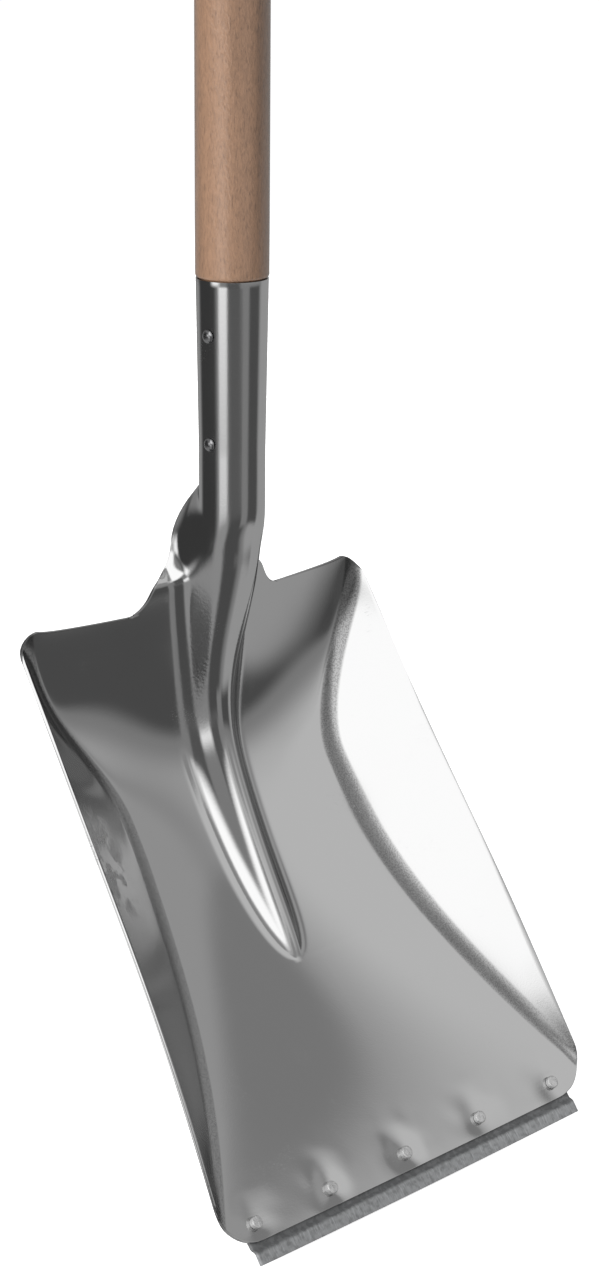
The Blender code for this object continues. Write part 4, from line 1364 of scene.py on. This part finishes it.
# Soft panels and dark screens that the metal mirrors: name, turn to the camera's left and height,
# each as (from, to) in degrees, softness in degrees, brightness. Later ones cover earlier ones
PANELS = [
    ("floor ahead", (-51, 8), (-95, -12), 21, 0.07),
    ("floor at left", (10, 172), (-95, -6), 13, 0.27),
    ("floor at right", (-190, -66), (-95, -16), 15, 0.32),
    ("dark room at left", (51, 126), (-26, 27), 22, 0.04),
    ("camera's side", (-26, 16), (-14, 15), 11, 0.09),
    ("low reflector", (-59, -35), (-29, 11), 8, 0.21),
    ("dark screen at right", (-97, -58), (-27, -4), 10, 0.07),
    ("low panel at left", (15, 43), (-14, -5), 11, 1.02),
    ("panel at left", (41, 66), (-1, 17), 16, 1.02),
    ("small panel at right", (-43, -30), (13, 30), 7, 0.59),
    ("grey wall behind", (-190, -104), (-26, 27), 10, 0.31),
    ("upper wall at right", (-95, -42), (15, 68), 29, 0.52),
    ("dark step under it", (-75, -55), (7, 24), 8, 0.25),
    ("panel overhead", (-31, 42), (18, 81), 14, 1.12),
    ("gap beside it", (-54, -40), (28, 61), 5, 0.25),
    ("far wall at right", (-125, -100), (26, 50), 5, 0.20),
]
WALL_BRIGHTNESS = 0.21          # of the studio where no panel stands
PLAIN_LIGHT = 0.27              # even light on whatever isn't a mirror
MIRROR_LOSS = 0.60              # what a mirror image of another mirror image lacks


def studio_brightness(tree):
    """Brightness of the studio in each direction, as the metal mirrors it."""
    direction = Field(tree.nodes.new("ShaderNodeTexCoord").outputs["Generated"])
    x, y, z = split(tree, direction)
    front = x * -float(np.sin(CAMERA_TURN)) + y * -float(np.cos(CAMERA_TURN))
    left = x * -float(np.cos(CAMERA_TURN)) + y * float(np.sin(CAMERA_TURN))
    turn = reckon("ARCTAN2", left, front) * (180.0 / pi)
    height = reckon("ARCSINE", z) * (180.0 / pi)
    level = WALL_BRIGHTNESS
    for _, (right_end, left_end), (low, high), softness, brightness in PANELS:
        share = (soft_band(tree, turn, right_end, left_end, softness)
                 * soft_band(tree, height, low, high, softness))
        level = level + (brightness - level) * share
    return level


def set_world():
    """White for the camera, a plain even light for dull surfaces and the studio for mirrors.

    What the metal mirrors in itself is dimmed.
    """
    world = bpy.data.worlds.new("studio")
    bpy.context.scene.world = world
    world.use_nodes = True
    world.cycles.sampling_method = "NONE"
    tree = world.node_tree
    tree.nodes.clear()
    path = tree.nodes.new("ShaderNodeLightPath")
    glossy = Field(path.outputs["Is Glossy Ray"])
    camera = Field(path.outputs["Is Camera Ray"])
    mirrored_again = clip(Field(path.outputs["Glossy Depth"]) - 1.0, 0.0, 1.0)
    studio = studio_brightness(tree) * (1.0 - MIRROR_LOSS * mirrored_again)
    level = PLAIN_LIGHT + (studio - PLAIN_LIGHT) * glossy
    level = level + (1.0 - level) * camera
    background = add_node(tree, "ShaderNodeBackground",
                          {"Color": (1.0, 1.0, 1.0, 1.0), "Strength": level})
    output = tree.nodes.new("ShaderNodeOutputWorld")
    tree.links.new(background.outputs[0], output.inputs["Surface"])


FLOOR_REACH = 30.0
FLOOR_LIFT = 0.80               # brightness that the camera sees beside the floor's own

# Lamps: name, place, size, watts
LAMPS = [
    ("key lamp", (-2.55, -0.49, 0.8), 1.2, 68.0),
    ("back lamp", (1.9, 1.9, 1.4), 1.6, 50.0),
]
LAMP_AIM = Vector((0.0, 0.0, -0.1))     # at the lower end of the socket


def floor_material(finish):
    """Pale floor that keeps the shadow and is white to the camera elsewhere."""
    material, tree, shader = new_material("pale_floor", finish.floor, metallic=0.0, roughness=0.9)
    shader.inputs["Specular IOR Level"].default_value = 0.0
    path = tree.nodes.new("ShaderNodeLightPath")
    glow = add_node(tree, "ShaderNodeEmission",
                    {"Strength": Field(path.outputs["Is Camera Ray"]) * FLOOR_LIFT})
    both = tree.nodes.new("ShaderNodeAddShader")
    tree.links.new(shader.outputs[0], both.inputs[0])
    tree.links.new(glow.outputs[0], both.inputs[1])
    tree.links.new(both.outputs[0], tree.nodes["Material Output"].inputs["Surface"])
    return material


def set_floor(finish, height):
    """The studio floor under the part's lowest point."""
    builder = bmesh.new()
    bmesh.ops.create_grid(builder, x_segments=1, y_segments=1, size=FLOOR_REACH)
    bmesh.ops.translate(builder, vec=(0, 0, height), verts=builder.verts)
    floor = plain_object("floor", builder)
    floor.data.materials.append(floor_material(finish))
    floor.visible_glossy = False
    floor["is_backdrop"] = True


def add_lamp(name, place, size, power_watts):
    """A soft square lamp that isn't mirrored itself."""
    data = bpy.data.lights.new(name, "AREA")
    data.shape = "SQUARE"
    data.size = size
    data.energy = power_watts
    lamp = bpy.data.objects.new(name, data)
    bpy.context.collection.objects.link(lamp)
    turn = (LAMP_AIM - Vector(place)).to_track_quat("-Z", "Y")
    lamp.matrix_world = Matrix.Translation(place) @ turn.to_matrix().to_4x4()
    lamp.visible_glossy = False


def set_stage(settings):
    """Camera, studio, floor and lamps."""
    set_camera()
    set_world()
    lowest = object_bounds()[0]
    set_floor(settings.shovel_finish, lowest.z)
    for name, place, size, power_watts in LAMPS:
        add_lamp(name, place, size, power_watts)


class SHOVEL_OT_blade(Operator):
    """Lay out the blade's blank and press it"""
    bl_idname = "shovel.blade"
    bl_label = "Blade"

    def execute(self, context):
        make_blade(context.scene)
        return {"FINISHED"}


class SHOVEL_OT_wear_strip(Operator):
    """Make the joggled steel strip along the mouth"""
    bl_idname = "shovel.wear_strip"
    bl_label = "Wear strip"

    def execute(self, context):
        make_wear_strip(context.scene)
        return {"FINISHED"}


class SHOVEL_OT_edge_rivets(Operator):
    """Set the hammered rivets along the mouth"""
    bl_idname = "shovel.edge_rivets"
    bl_label = "Edge rivets"

    def execute(self, context):
        make_edge_rivets(context.scene)
        return {"FINISHED"}


class SHOVEL_OT_socket_rivets(Operator):
    """Run the domed rivets through the socket and the handle"""
    bl_idname = "shovel.socket_rivets"
    bl_label = "Socket rivets"

    def execute(self, context):
        make_socket_rivets(context.scene)
        return {"FINISHED"}


class SHOVEL_OT_handle(Operator):
    """Turn the wooden handle"""
    bl_idname = "shovel.handle"
    bl_label = "Handle"

    def execute(self, context):
        make_handle(context.scene)
        return {"FINISHED"}


class SHOVEL_OT_stage(Operator):
    """Set the camera, the studio light and the floor"""
    bl_idname = "shovel.stage"
    bl_label = "Stage"

    def execute(self, context):
        set_stage(context.scene)
        return {"FINISHED"}


OPERATORS = [SHOVEL_OT_blade, SHOVEL_OT_wear_strip, SHOVEL_OT_edge_rivets,
             SHOVEL_OT_socket_rivets, SHOVEL_OT_handle, SHOVEL_OT_stage]
SETTINGS = {"shovel_blade": BladeSizes, "shovel_strip": StripSizes, "shovel_rivets": RivetSizes,
            "shovel_handle": HandleSizes, "shovel_finish": Finish}


class SHOVEL_PT_sidebar(Panel):
    """The shovel's pieces and their sizes"""
    bl_idname = "SHOVEL_PT_sidebar"
    bl_label = "Ballast shovel"
    bl_space_type = "VIEW_3D"
    bl_region_type = "UI"
    bl_category = "Shovel"

    def draw(self, context):
        for operator in OPERATORS:
            self.layout.operator(operator.bl_idname)
        for key in SETTINGS:
            group = getattr(context.scene, key)
            box = self.layout.box()
            for name, prop in group.bl_rna.properties.items():
                if prop.type in {"FLOAT", "INT"}:
                    box.prop(group, name)


def register():
    """Register the sizes, the operators and the panel."""
    for group in SETTINGS.values():
        bpy.utils.register_class(group)
    for key, group in SETTINGS.items():
        setattr(bpy.types.Scene, key, PointerProperty(type=group))
    for operator in OPERATORS:
        bpy.utils.register_class(operator)
    bpy.utils.register_class(SHOVEL_PT_sidebar)


def unregister():
    """Take them all out again."""
    bpy.utils.unregister_class(SHOVEL_PT_sidebar)
    for operator in reversed(OPERATORS):
        bpy.utils.unregister_class(operator)
    for key in SETTINGS:
        delattr(bpy.types.Scene, key)
    for group in reversed(list(SETTINGS.values())):
        bpy.utils.unregister_class(group)


def main():
    """Make the shovel and its stage."""
    register()
    bpy.context.scene.view_settings.view_transform = "Standard"
    bpy.ops.shovel.blade()
    bpy.ops.shovel.wear_strip()
    bpy.ops.shovel.edge_rivets()
    bpy.ops.shovel.socket_rivets()
    bpy.ops.shovel.handle()
    bpy.ops.shovel.stage()


if __name__ == "__main__":
    main()
